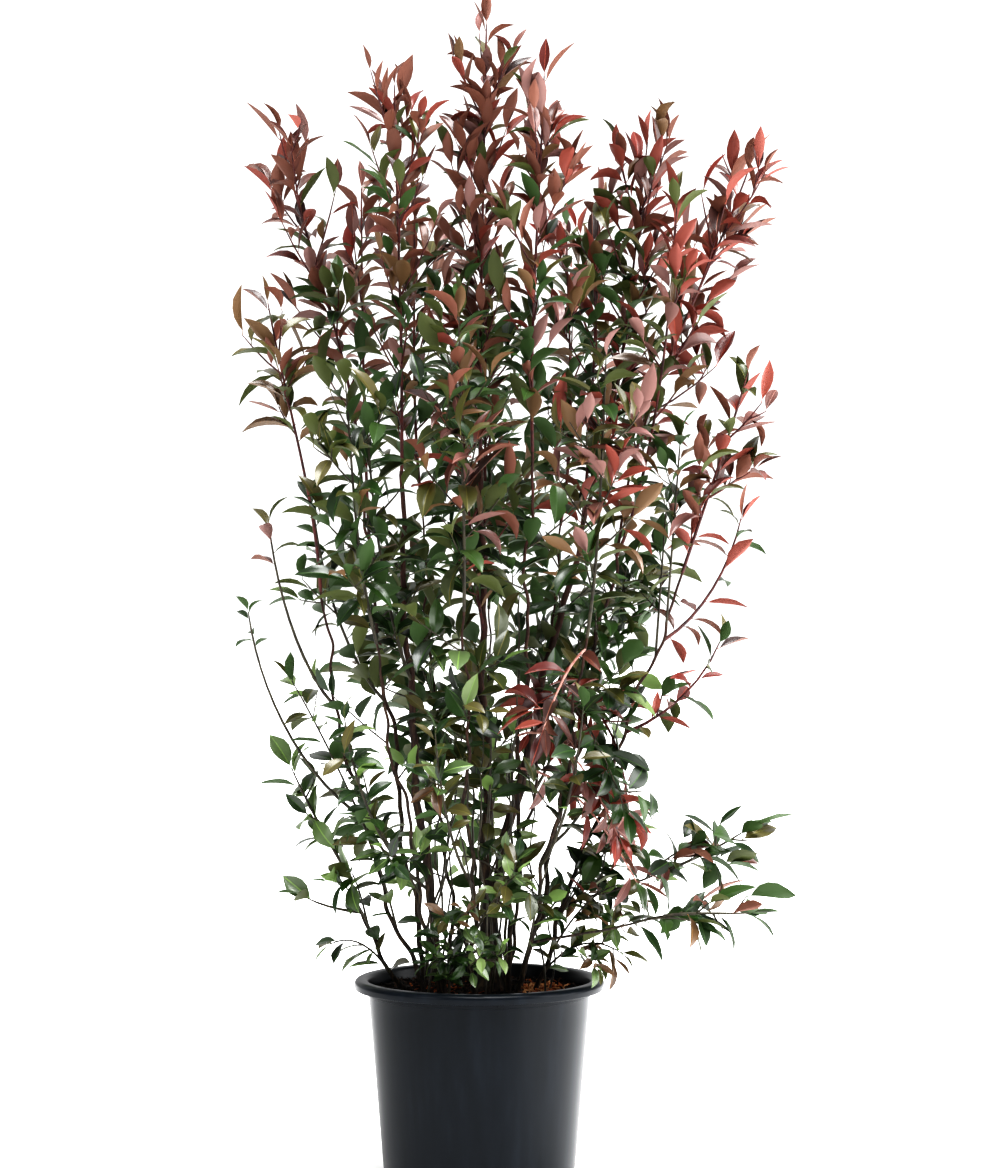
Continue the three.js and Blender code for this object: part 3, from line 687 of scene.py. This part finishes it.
def growLeaves(mass, curve, placed, draw):
    # leaves round one stem or twig from its tip back; gives the place of the outermost one
    leafSize = mass["leafSize"]
    outermost = 0
    firstTurn = draw.uniform(0, 2 * math.pi)
    tip = curve.point(1.0)
    warmth = sprayWarmth(mass, tip, draw)
    stops = leafStops(curve.length, byHeight(tip, 19, 24) * max(0.6, leafSize), draw)
    for number, fromTip in enumerate(stops):
        place = max(0.05, 1 - fromTip / curve.length)
        if place < mass.get("bareTo", 0) and curve.length > growth["bareLongerThan"]:
            break
        root = curve.point(place)
        angle = byHeight(root, 1.15, 0.74) + draw.uniform(-0.25, 0.25)
        if number < 3:                       # the youngest leaves still stand close to the stem
            angle *= 0.16 + 0.27 * number
        age = number / len(stops)
        family = familyFor(mass, root, warmth + 0.08 - 0.26 * age + draw.normal(0, 0.07), draw)
        for attempt in range(growth["tries"]):
            turn = firstTurn + number * goldenAngle + attempt * 0.8
            along, outward = directionsAt(curve, place, turn)
            heading = unit(along * math.cos(angle) + outward * math.sin(angle)
                           - up * byHeight(root, 0.17, 0.0) * draw.uniform(0, 1.2))
            outside = np.interp(root[2], [700, 1000], [0.7, 0]) * unit(root * [1, 1, 0])
            lean = along * 0.5 + up + outside
            face = unit(lean - heading * np.dot(lean, heading))
            roll = draw.normal(0, growth["roll"])
            face = face * math.cos(roll) + np.cross(heading, face) * math.sin(roll)
            side = np.cross(heading, face)
            size = growth["leafLength"] * leafSize * draw.uniform(*growth["leafSizes"])
            young = (0.84, 0.94)[number] if number < 2 else 1
            size *= young * np.interp(root[2], *leafSizeAt)
            blade = root + np.outer([0.45, 0.75, 1.0], heading) * size
            edges = root + heading * 0.5 * size + np.outer([-0.16, 0.16], side) * size
            if placed:
                nearest = leastDistance(blade[:1], np.array(placed))[0]
                if nearest < growth["leafSpacing"] * leafSize:
                    continue
            if not fits(np.concatenate([blade, edges]), mass):
                continue
            placed.append(blade[0])
            addLeaf(family, root, side, heading, face, size, draw)
            outermost = max(outermost, place)
            break
    return outermost


leafBundles = {family: Bundle() for family in leafTints}


def addLeaf(family, root, side, heading, face, size, draw):
    kinds = grownLeaves if family in ("green", "olive") else youngLeaves
    if root[2] < growth["broadBelow"] and family in ("green", "olive", "fresh"):
        kinds = broadLeaves
    points, quads, slots = kinds[draw.randint(len(kinds))]
    turned = points @ np.stack([side, heading, face]) * size + root
    tints = len(leafTints[family])
    tint = draw.randint(tints)
    leafBundles[family].add(turned, quads, np.where(slots == 0, tint, slots - 1 + tints))


greenTwigs, redTwigs, paleTwigs = Bundle(), Bundle(), Bundle()


def growMass(mass, seed):
    draw = random(seed)
    full = mass.get("full", 1)
    mass["leafSize"] = mass.get("leaf", min(1.0, max(0.8, mass["spread"] / 90)))
    leafReach = growth["leafLength"] * mass["leafSize"]
    stem = PartOf(mass["curve"], 1 - leafReach * 0.75 / mass["curve"].length)
    twigs = redTwigs if mass["tint"] in ("red", "bronze") else greenTwigs
    placed = []
    leafy = PartOf(stem, max(0.7, growLeaves(mass, stem, placed, draw)))
    twigs.add(*tubeArrays(leafy, 3.0, 1.5, 5, max(6, int(stem.length / 28))), 0)
    bare = mass.get("bareTo", 0.04)
    count = int(stem.length * (0.9 - bare) * full / growth["twigEvery"])
    for number in range(count):
        place = bare + (0.86 - bare) * (number + draw.uniform(0.25, 0.75)) / count
        length = (mass["spread"] - leafReach * 0.4) * draw.uniform(*growth["twigLengths"])
        length *= np.interp(place, [0.55, 0.86], [1, 0.8])
        growTwig(mass, stem, place, number * goldenAngle + draw.uniform(0, 0.7), length,
                 growth["twigRadius"], twigs, placed, draw)


def growTwig(mass, parent, place, turn, length, radius, twigs, placed, draw):
    along, outward = directionsAt(parent, place, turn)
    start = parent.point(place)
    angle = byHeight(start, 1.0, 0.55) + draw.uniform(-0.12, 0.12)
    heading = along * math.cos(angle) + outward * math.sin(angle)
    while length > growth["shortest"]:       # a twig with no room is tried again, shorter
        end = start + heading * length + up * length * byHeight(start, 0.1, 0.34)
        twig = Bow(start, start + heading * length * 0.5, end)
        if fits(twig.point([0.35, 0.6, 0.8, 1.0]), mass):
            outermost = growLeaves(mass, twig, placed, draw)
            if not outermost:
                return
            twigs.add(*tubeArrays(PartOf(twig, max(0.7, outermost)), radius, radius * 0.7, 4, 4), 0)
            if length > growth["twigletsFrom"]:
                for side in (-1, 1):
                    if draw.uniform() < growth["twiglets"]:
                        growTwig(mass, twig, draw.uniform(0.3, 0.7), turn + side * 1.4,
                                 length * 0.45, radius * 0.8, twigs, placed, draw)
            return
        length *= 0.75


def growLimbTwigs(limb, seed):
    # short leafy twigs on the limbs themselves, where no mass reaches
    draw = random(seed)
    curve = limb["curve"]
    region = dict(limb, spine=curve.point(np.linspace(0, 1, 60)), spread=150, tint="green",
                  leafSize=0.92, others=None, tipShare=1, ceiling=1400)
    placed = []
    count = int(curve.length * limb.get("leafy", 1) / growth["limbTwigEvery"])
    for number in range(count):
        place = (number + draw.uniform(0.2, 0.8)) / count
        height = curve.point(place)[2]
        chance = limb.get("lowLeaves", np.interp(height, [550, 900], [0.1, 1]))
        if height < growth["limbTwigsFrom"] or draw.uniform() > chance:
            continue
        length = draw.uniform(*growth["limbTwigLengths"]) * np.interp(height, [400, 520], [0.6, 1])
        growTwig(region, curve, place, number * goldenAngle + draw.uniform(0, 0.7), length, 1.5,
                 greenTwigs, placed, draw)


class PartOf(Bow):
    # the first share of another curve

    def __init__(self, whole, share):
        self.whole, self.share = whole, share
        self.length = whole.length * share

    def point(self, place):
        return self.whole.point(np.asarray(place) * self.share)


def lowShoot(on, at, tip, lift, families="", **options):
    # a thin shoot: its limb and the place on it, its tip, and how far it arches up
    return spray(on, at, tip, 90, "light", families, lift=lift, **options)


# Over the rim, between the stems and at the right front
lowShoots = dict(
    over_front_rim=lowShoot("front_left_stem", 0.03, (-10, -170, 342), 70, leaf=0.52,
        twigs=(0.2, 0.3, 0.4, 0.5, 0.6, 0.7, 0.8, 0.9), families="green green fresh"),
    front_foot=lowShoot("front_stem", 0.1, (-56, -180, 430), 40, leaf=0.6, twigs=(0.7,),
        families="olive russet green"),
    over_right_rim=lowShoot("right_outer_stem", 0.05, (226, -80, 360), 60, leaf=0.72,
        families="green olive russet fresh"),
    right_foot=lowShoot("right_outer_stem", 0.09, (214, -100, 470), 40, twigs=(0.8,)),
    right_foot_back=lowShoot("right_stem", 0.1, (236, 40, 540), 40, twigs=()),
    left_loop=lowShoot("left_low_stem", 0.14, (-236, -52, 372), 50, twigs=(), leaf=0.8),
    left_foot=lowShoot("left_low_stem", 0.3, (-216, -70, 470), 30, leaf=1.05,
        twigs=(0.3, 0.5, 0.7, 0.88)),
    left_knee=lowShoot("left_low_stem", 0.5, (-200, -90, 490), 20, leaf=0.9, twigs=(0.8,)),
    left_waist=lowShoot("left_outer_stem", 0.4, (-296, -64, 790), 20, leaf=0.9, high=900,
        twigs=(0.45, 0.75), apart=12),
    left_inner=lowShoot("left_outer_stem", 0.16, (-176, -110, 560), 20, leaf=0.85, twigs=()),
    front_knee=lowShoot("front_stem", 0.2, (-30, -200, 570), 20, leaf=0.8),
    front_right_foot=lowShoot("front_right_stem", 0.1, (110, -176, 520), 30, leaf=0.75),
    right_knee=lowShoot("right_outer_stem", 0.16, (236, -60, 560), 20, leaf=0.8, twigs=(0.8,)),
    centre_knee=lowShoot("centre_right_stem", 0.2, (-36, -150, 520), 30, leaf=0.7,
        families="fresh green fresh", twigs=(0.5, 0.8)),
    trunk_knee=lowShoot("trunk", 0.2, (60, -120, 560), 30, leaf=0.7, families="fresh green olive",
        twigs=(0.5, 0.8)),
    right_gap=lowShoot("right_outer_stem", 0.86, (316, -90, 1170), 0, leaf=0.95, high=1230, apart=30,
        families="green olive green russet", twigs=(0.3, 0.5, 0.7, 0.85), bareTo=0.3),
    right_gap_back=lowShoot("right_outer_stem", 0.8, (300, 10, 1070), 0, leaf=0.95, high=1120,
        families="green olive green bronze", apart=25, twigs=(0.3, 0.6, 0.85), bareTo=0.35),
    right_reach=lowShoot("low_front_right_bough", 0.75, (336, -168, 420), 16, leaf=1.0, apart=8,
        families="green green green bronze olive", twigs=()),
    right_reach_high=lowShoot("low_right_bough", 0.8, (338, -70, 530), 16, leaf=1.0, apart=8,
        families="green green green bronze", twigs=(0.5,)),
    hanging_green=lowShoot("centre_right_stem", 0.56, (222, -240, 600), 130, high=850, leaf=1.05,
        families="green", twigs=(0.6, 0.75, 0.9), apart=10),
    red_tuft=lowShoot("front_right_stem", 0.97, (98, -262, 722), 36, leaf=0.98, high=900,
        families="red bronze red", twigs=(0.75,), pale=True, apart=5),
    fresh_left=lowShoot("front_left_stem", 0.3, (-150, -215, 540), 20, leaf=0.72,
        families="fresh green fresh", twigs=(0.3, 0.5, 0.7, 0.85), apart=20),
    fresh_right=lowShoot("front_stem", 0.18, (60, -215, 500), 20, leaf=0.7,
        families="fresh green fresh olive", twigs=(0.5, 0.7, 0.85), apart=20),
    hanging_second=lowShoot("centre_right_stem", 0.48, (212, -235, 560), 110, high=800, leaf=0.85,
        families="red red bronze rose", twigs=(0.6, 0.85), pale=True, apart=15),
    hanging_third=lowShoot("centre_right_stem", 0.42, (250, -140, 470), 90, high=760, leaf=0.85,
        families="red bronze rose bronze", twigs=(0.8,), pale=True, apart=15),
)


def growLowShoot(shoot, seed):
    draw = random(seed)
    start = limbs[shoot["on"]]["curve"].point(shoot["at"])
    tip = np.array(shoot["tip"], float)
    curve = Bow(start, (start + tip) / 2 + up * shoot["lift"], tip)
    region = dict(shoot, spine=curve.point(np.linspace(0, 1, 20)), fresh=0.4, others=None, tipShare=1,
                  leafSize=shoot.get("leaf", 0.66), ceiling=shoot.get("high", 700), lowest=280)
    twigs = paleTwigs if "pale" in shoot else greenTwigs
    twigs.add(*tubeArrays(curve, 2.2, 1.2, 5, 12), 0)
    placed = []
    growLeaves(region, curve, placed, draw)
    for place in shoot.get("twigs", (0.45, 0.6, 0.75, 0.88)):
        growTwig(region, curve, place, draw.uniform(0, 6), draw.uniform(30, 75), 1.2, twigs,
                 placed, draw)


whips = dict(count=14, footRadius=(30, 128), rise=(300, 640), swing=1.5, reach=(40, 165), radius=(1.7, 3.0))


def growWhips():
    # thin bare stems that cross between the thick ones
    draw = random(61)
    for number in range(whips["count"]):
        bearing = number * goldenAngle
        outward = np.array([math.cos(bearing), math.sin(bearing), 0.0])
        foot = outward * draw.uniform(*whips["footRadius"]) + up * (soilTop - 3)
        rise = draw.uniform(*whips["rise"])
        bearing += draw.uniform(-1, 1) * whips["swing"]
        reach = draw.uniform(*whips["reach"])
        tip = np.array([reach * math.cos(bearing), reach * math.sin(bearing), soilTop + rise])
        low = foot + up * rise * 0.35 + outward * draw.uniform(-30, 30)
        whole = Bow(foot, low, tip - up * rise * 0.3, tip)
        whip = Wander(whole, number * 2.7, 5)
        radius = draw.uniform(*whips["radius"])
        greenTwigs.add(*tubeArrays(whip, radius, radius * 0.55, 5, int(rise / 22)), 0)


growWhips()
for number, shoot in enumerate(lowShoots.values()):
    growLowShoot(shoot, 2000 + number)
for number, mass in enumerate(foliage.values()):
    growMass(mass, 101 + 7 * number)
for number, limb in enumerate(limbs.values()):
    growLimbTwigs(limb, 900 + 11 * number)
print("foliage grown:", sum(len(bundle.points) for bundle in leafBundles.values()), "leaves")

for family, bundle in leafBundles.items():
    materials = [leatheryLeaf(family + "Leaf" + str(k), tint, 0.36 + 0.05 * k, 0.55)
                 for k, tint in enumerate(leafTints[family])]
    materials.append(leatheryLeaf(family + "Midrib", ribTints[family], 0.45, 0.0))
    materials.append(leatheryLeaf(family + "Underside", undersideTints[family], 0.6, 0.0))
    piece = bundle.toObject("leaves_" + family, materials)
    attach(piece, "root")
    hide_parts(*["foliage_" + name for name in foliage])
    print(family, sum(len(q) for q in bundle.quads) * 2, "triangles")

for name, bundle, material in (
        ("twigs_green", greenTwigs, twigBark("greenTwigSkin", "#28231a", "#454030")),
        ("twigs_red", redTwigs, twigBark("redTwigSkin", "#35171a", "#5f2a25")),
        ("twigs_pale", paleTwigs, twigBark("youngTwigSkin", "#a0685e", "#cfa498"))):
    piece = bundle.toObject(name, [material])
    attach(piece, "root")
    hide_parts(*["foliage_" + key for key in foliage])


# Modelled pieces

def freshPrimitive(add, **settings):
    bpy.ops.object.select_all(action="DESELECT")
    add(**settings)
    return bpy.context.object


def editing(on):
    bpy.ops.object.mode_set(mode="EDIT" if on else "OBJECT")


def ringProfileMesh(name, profile, segments):
    # a turned body: one ring carried up the profile, with a flat cap at either end
    piece = freshPrimitive(bpy.ops.mesh.primitive_circle_add, vertices=segments,
                           radius=profile[0][0] * mm, location=(0, 0, 0), fill_type="NOTHING")
    piece.name = piece.data.name = name
    editing(True)
    bpy.ops.mesh.select_mode(type="EDGE")
    bpy.ops.mesh.select_all(action="SELECT")
    bpy.ops.transform.translate(value=(0, 0, profile[0][1] * mm))
    for (radius, height), (nextRadius, nextHeight) in zip(profile, profile[1:]):
        rise = (0, 0, (nextHeight - height) * mm)
        bpy.ops.mesh.extrude_region_move(TRANSFORM_OT_translate={"value": rise})
        ratio = nextRadius / radius
        bpy.ops.transform.resize(value=(ratio, ratio, 1), center_override=(0, 0, nextHeight * mm))
    bpy.ops.mesh.edge_face_add()
    bpy.ops.mesh.select_all(action="DESELECT")
    editing(False)
    for vertex in piece.data.vertices[:segments]:
        vertex.select = True
    editing(True)
    bpy.ops.mesh.edge_face_add()
    bpy.ops.mesh.select_all(action="SELECT")
    bpy.ops.mesh.normals_make_consistent(inside=False)
    editing(False)
    return piece


def arc(centre, radius, fromAngle, toAngle, steps):
    angles = np.radians(np.linspace(fromAngle, toAngle, steps))
    return [(centre[0] + radius * math.cos(a), centre[1] + radius * math.sin(a)) for a in angles]


def makePot():
    p = potSizes
    height, top, rim, wall = p["height"], p["topRadius"], p["rimRadius"], p["wall"]
    lipBottom = height - p["lipHeight"]
    slope = (top - p["footRadius"]) / (lipBottom - p["footEdge"])
    profile = [(2, 0), (60, 0), (p["undersideRadius"] - 8, 0)]                  # flat underside
    profile += arc((p["undersideRadius"] - 4, 7), 7, -90, -8, 7)                # rounded foot
    for level in np.linspace(14, lipBottom - 12, 10):                           # outer wall
        profile.append((p["footRadius"] + slope * (level - p["footEdge"]), level))
    profile += [(top - 0.4, lipBottom - 9), (top + 0.9, lipBottom - 8.2)]       # step under the lip
    profile += [(top + 1.2, lipBottom - 3), (top + 1.8, height - 7)]
    profile += arc((top + 5.5, height - 7.5), 3.2, 180, 90, 4)                  # hollow of the lip
    profile += arc((rim - 8, height - 8), 3.7, 90, 0, 4)
    profile += [(rim - 3.9, lipBottom + 0.8)]
    profile += arc((rim - 2.2, lipBottom + 1.8), 1.8, -150, 0, 6)               # its free edge
    profile += arc((rim - 8, height - 8), 8, 0, 90, 9)                          # its rounded top
    profile += arc((top + 7, height - 8), 8, 90, 170, 8)
    for level in np.linspace(lipBottom - 2, p["floor"] + 8, 6):                 # inner wall
        profile.append((top - wall - slope * (lipBottom - level), level))
    profile += [(p["footRadius"] - wall - 3, p["floor"]), (2, p["floor"])]
    pot = ringProfileMesh("nurseryPot", profile, p["segments"])
    pot.data.materials.append(mouldedPlastic())
    bpy.ops.object.shade_smooth_by_angle(angle=math.radians(40))
    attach(pot, "root")
    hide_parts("pot")


mixLumps = [(38, 4), (13, 2.6), (5, 1.4)]       # how wide and how high


def lump(spot, wide, high):
    return noise.noise(spot / wide) * high


def makePottingMix():
    p = potSizes
    wallRadius = p["topRadius"] - p["wall"] - 1.2
    profile = [(2, soilTop)] + [(r, soilTop) for r in np.arange(7, wallRadius, 4.5)]
    profile += [(wallRadius, soilTop - 1), (wallRadius - 3, soilTop - 40)]
    profile += [(p["footRadius"] - p["wall"] - 4, p["floor"] + 1), (2, p["floor"] + 1)]
    mix = ringProfileMesh("crumblyPottingMix", profile, 96)
    for vertex in mix.data.vertices:
        if vertex.co.z > (soilTop - 2) * mm:
            vertex.co.z += sum(lump(vertex.co / mm, *size) for size in mixLumps) * mm
    mix.data.materials.append(crumblyMaterial("peatAndBark", "#0e0a08", "#2c1e16"))
    bpy.ops.object.shade_smooth()
    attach(mix, "root")
    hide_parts("potting_mix")


chipSizes = dict(count=2600, within=171, edge=172, length=(2, 9), width=(0.6, 2.4), thick=(0.3, 1.1),
                 tilt=0.3, jag=0.3)


def inPatch(spot, centre, size, draw):
    # in an oval patch with a ragged edge
    away = math.hypot((spot[0] - centre[0]) / size[0], (spot[1] - centre[1]) / size[1])
    return away < draw.uniform(0.5, 1.1)


def makeChips():
    # shredded bark on top: short jagged slabs in four browns, redder and paler in a patch at the right
    draw = random(77)
    c = chipSizes
    chips = Bundle()
    corners = np.array([[x, y, z] for x in (-1, 1) for y in (-1, 1) for z in (-1, 1)], float)
    faces = np.array([[0, 1, 3, 2], [4, 6, 7, 5], [0, 4, 5, 1], [2, 3, 7, 6], [0, 2, 6, 4], [1, 5, 7, 3]])
    for _ in range(c["count"]):
        distance = c["within"] * math.sqrt(draw.uniform())
        bearing = draw.uniform(0, 2 * math.pi)
        spot = np.array([distance * math.cos(bearing), distance * math.sin(bearing), 0])
        spot[2] = soilTop + lump(Vector(spot), *mixLumps[0]) + draw.uniform(-0.5, 4.5)
        half = np.array([draw.uniform(*c["length"]), draw.uniform(*c["width"]), draw.uniform(*c["thick"])])
        turn, tilt = draw.uniform(0, math.pi), draw.normal(0, c["tilt"])
        along = np.array([math.cos(turn) * math.cos(tilt), math.sin(turn) * math.cos(tilt), math.sin(tilt)])
        side = unit(np.cross(up, along) + up * draw.normal(0, c["tilt"]))
        face = np.cross(along, side)
        jag = 1 + draw.uniform(-c["jag"], c["jag"], corners.shape)
        points = (corners * jag * half) @ np.stack([along, side, face]) + spot
        reach = np.hypot(points[:, 0], points[:, 1]).max()
        if reach > c["edge"]:
            points[:, :2] *= c["edge"] / reach
        bright = inPatch(spot, (97, 10), (42, 95), draw)
        rusty = inPatch(spot, (-50, 10), (60, 90), draw)
        tone = draw.randint(2, 4) if bright else draw.choice([1, 1, 2, 0] if rusty else [0, 0, 0, 0, 1, 1])
        chips.add(points, faces, tone)
    materials = [crumblyMaterial(name, dark, light) for name, dark, light in (
        ("darkBarkChip", "#0f0a08", "#241812"), ("brownBarkChip", "#22150f", "#40291b"),
        ("redBarkChip", "#7a4022", "#b5683a"), ("tanBarkChip", "#a87048", "#d8a474"))]
    piece = chips.toObject("barkChips", materials)
    piece.data.polygons.foreach_set("use_smooth", np.zeros(len(piece.data.polygons), bool))
    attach(piece, "root")
    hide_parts("potting_mix")


# The trunk's thickness by place, and the flare at its foot
trunkShape = dict(places=[0, 0.1, 0.19, 1], across=[41, 34, 17, 8], flare=0.5, flareHeight=26)
# The bark's relief: how wide and how tall each furrow is, and its share of the radius
relief = dict(base=0.94, coarse=(7, 34, 0.1), fine=(3, 12, 0.05), knotHeight=16, knots=0.3)


def furrow(spot, phase, wide, tall, deep):
    return noise.noise(Vector((spot.x / wide, spot.y / wide, spot.z / tall)) + phase) * deep


def makeLimb(name, limb, bark):
    # a cylinder cut into rings, carried onto the limb's curve, with furrows in its bark
    curve = limb["curve"]
    rings = int(curve.length / 7)
    sides = 20 if limb["thick"][0] > 18 else 14
    piece = freshPrimitive(bpy.ops.mesh.primitive_cylinder_add, vertices=sides, radius=1, depth=1,
                           end_fill_type="NGON")
    piece.name = piece.data.name = "bark_" + name
    editing(True)
    bpy.ops.mesh.select_all(action="DESELECT")
    editing(False)
    for edge in piece.data.edges:
        low, high = [piece.data.vertices[v].co.z for v in edge.vertices]
        edge.select = abs(low - high) > 0.5
    editing(True)
    bpy.ops.mesh.subdivide(number_cuts=rings - 1)
    editing(False)
    places = np.linspace(0, 1, rings + 1)
    centres = curve.point(places)
    side, across = squareTo(curve.direction(places))
    phase = Vector((len(name) * 3.1, 0, 0))
    for vertex in piece.data.vertices:
        ring = int(round((vertex.co.z + 0.5) * rings))
        place = places[ring]
        radius = np.interp(place, [0, 1], limb["thick"]) / 2
        if name == "trunk":
            radius = np.interp(place, trunkShape["places"], trunkShape["across"]) / 2
            flare = math.exp(-place * curve.length / trunkShape["flareHeight"])
            radius *= 1 + trunkShape["flare"] * flare
        spoke = side[ring] * vertex.co.x + across[ring] * vertex.co.y
        spot = Vector(centres[ring] + spoke * radius)
        furrows = [furrow(spot, phase, *relief[kind]) for kind in ("coarse", "fine")]
        knot = max(0, noise.noise(Vector((0, 0, spot.z / relief["knotHeight"])) + phase * 2)) ** 2
        radius *= relief["base"] + furrows[0] + furrows[1] + relief["knots"] * knot
        point = centres[ring] + spoke * radius
        if ring == 0 and "foot" in limb:
            point[2] = soilTop - 4
        vertex.co = Vector(point) * mm
    piece.data.materials.append(bark)
    bpy.ops.object.shade_smooth_by_angle(angle=math.radians(50))
    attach(piece, "root")
    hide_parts(name)


makePot()
makePottingMix()
makeChips()
print("pot and potting mix done")
furrowedBark = barkMaterial()
for name, limb in limbs.items():
    makeLimb(name, limb, furrowedBark)
print("limbs done")


# Studio

lamps = [
    dict(name="overheadBox", at=(1.1, -3.6, 9.0), wide=6.4, tall=5.0, power=1440, aim=(0, 0, 1.0)),
    dict(name="rightBox", at=(3.3, -0.7, 1.6), wide=2.6, tall=2.4, power=105, aim=(0, 0, 1.2)),
    dict(name="leftBox", at=(-3.4, -3.0, 2.2), wide=1.2, tall=1.8, power=28, aim=(0, 0, 1.2)),
]


def makeFloor():
    # painted light: a white floor that glows by itself, more strongly behind and to the right of the pot and
    # far away; the glow lights the plant from below and gives the pot's right side its highlight
    floor = freshPrimitive(bpy.ops.mesh.primitive_plane_add, size=60, location=(0, 0, -0.0005))
    floor.name = "paleFloor"
    material, tree, shader, place = newMaterial("glowingWhiteFloor", {
        "Base Color": linearColour("#e4e4e4"),
        "Roughness": 0.9,
        "Emission Color": (1, 1, 1, 1),
    })
    # the painted glow rises towards the right and the back of the pot
    slant = addNode(tree, "ShaderNodeVectorMath", {"operation": "DOT_PRODUCT", 1: (0.8, 0.6, 0)},
                    {0: place})
    behind = addRange(tree, slant.outputs["Value"], (-0.1, 0.2), (0.25, 1.5))
    reach = addNode(tree, "ShaderNodeVectorMath", {"operation": "LENGTH"}, {0: place})
    far = addRange(tree, reach.outputs["Value"], (1.2, 6.0), (0.25, 0.95))
    glow = addNode(tree, "ShaderNodeMath", {"operation": "MAXIMUM"}, {0: behind, 1: far})
    tree.links.new(glow.outputs["Value"], shader.inputs["Emission Strength"])
    floor.data.materials.append(material)


def makeWorld():
    # the room gives light from its ceiling and its white back wall, and is dark in front
    world = bpy.data.worlds.new("whiteStudio")
    bpy.context.scene.world = world
    world.use_nodes = True
    tree = world.node_tree
    direction = addNode(tree, "ShaderNodeTexCoord")
    sides = addNode(tree, "ShaderNodeSeparateXYZ", {}, {"Vector": direction.outputs["Generated"]})
    ceiling = addRange(tree, sides.outputs["Z"], (0.05, 0.9), (0.05, 0.45))
    backWall = addRange(tree, sides.outputs["Y"], (0.25, 0.8), (0.0, 0.6))
    both = addNode(tree, "ShaderNodeMath", {"operation": "ADD"}, {0: ceiling, 1: backWall})
    room = tree.nodes["Background"]
    room.inputs["Color"].default_value = (1, 1, 1, 1)
    tree.links.new(both.outputs["Value"], room.inputs["Strength"])
    backdrop = addNode(tree, "ShaderNodeBackground", {"Color": (1, 1, 1, 1), "Strength": 1.05})
    seen = addNode(tree, "ShaderNodeLightPath")
    mixed = addNode(tree, "ShaderNodeMixShader", {},
                    {"Fac": seen.outputs["Is Camera Ray"], 1: room.outputs["Background"],
                     2: backdrop.outputs["Background"]})
    tree.links.new(mixed.outputs["Shader"], tree.nodes["World Output"].inputs["Surface"])


def makeLamps():
    # a large softbox overhead, one along the right side and a weak one at the left
    for lamp in lamps:
        light = bpy.data.lights.new(lamp["name"], "AREA")
        light.shape = "RECTANGLE"
        light.size = lamp["wide"]
        light.size_y = lamp["tall"]
        light.energy = lamp["power"]
        box = newObject(lamp["name"], light)
        box.location = lamp["at"]
        aim = Vector(lamp["aim"]) - box.location
        box.rotation_euler = aim.to_track_quat("-Z", "Y").to_euler()


def makeCamera():
    view = dict(x=0.033, distance=4.6, height=0.942, lens=88.6)
    camera = bpy.data.cameras.new("productCamera")
    camera.lens = view["lens"]
    camera.sensor_width = 36
    camera.sensor_fit = "AUTO"
    rig = newObject("productCamera", camera)
    rig.location = (view["x"], -view["distance"], view["height"])
    rig.rotation_euler = (math.radians(90), 0, 0)
    bpy.context.scene.camera = rig


makeFloor()
makeWorld()
makeLamps()
makeCamera()
bpy.context.scene.view_settings.view_transform = "Standard"
bpy.context.scene.view_settings.look = "High Contrast"
print("studio done")
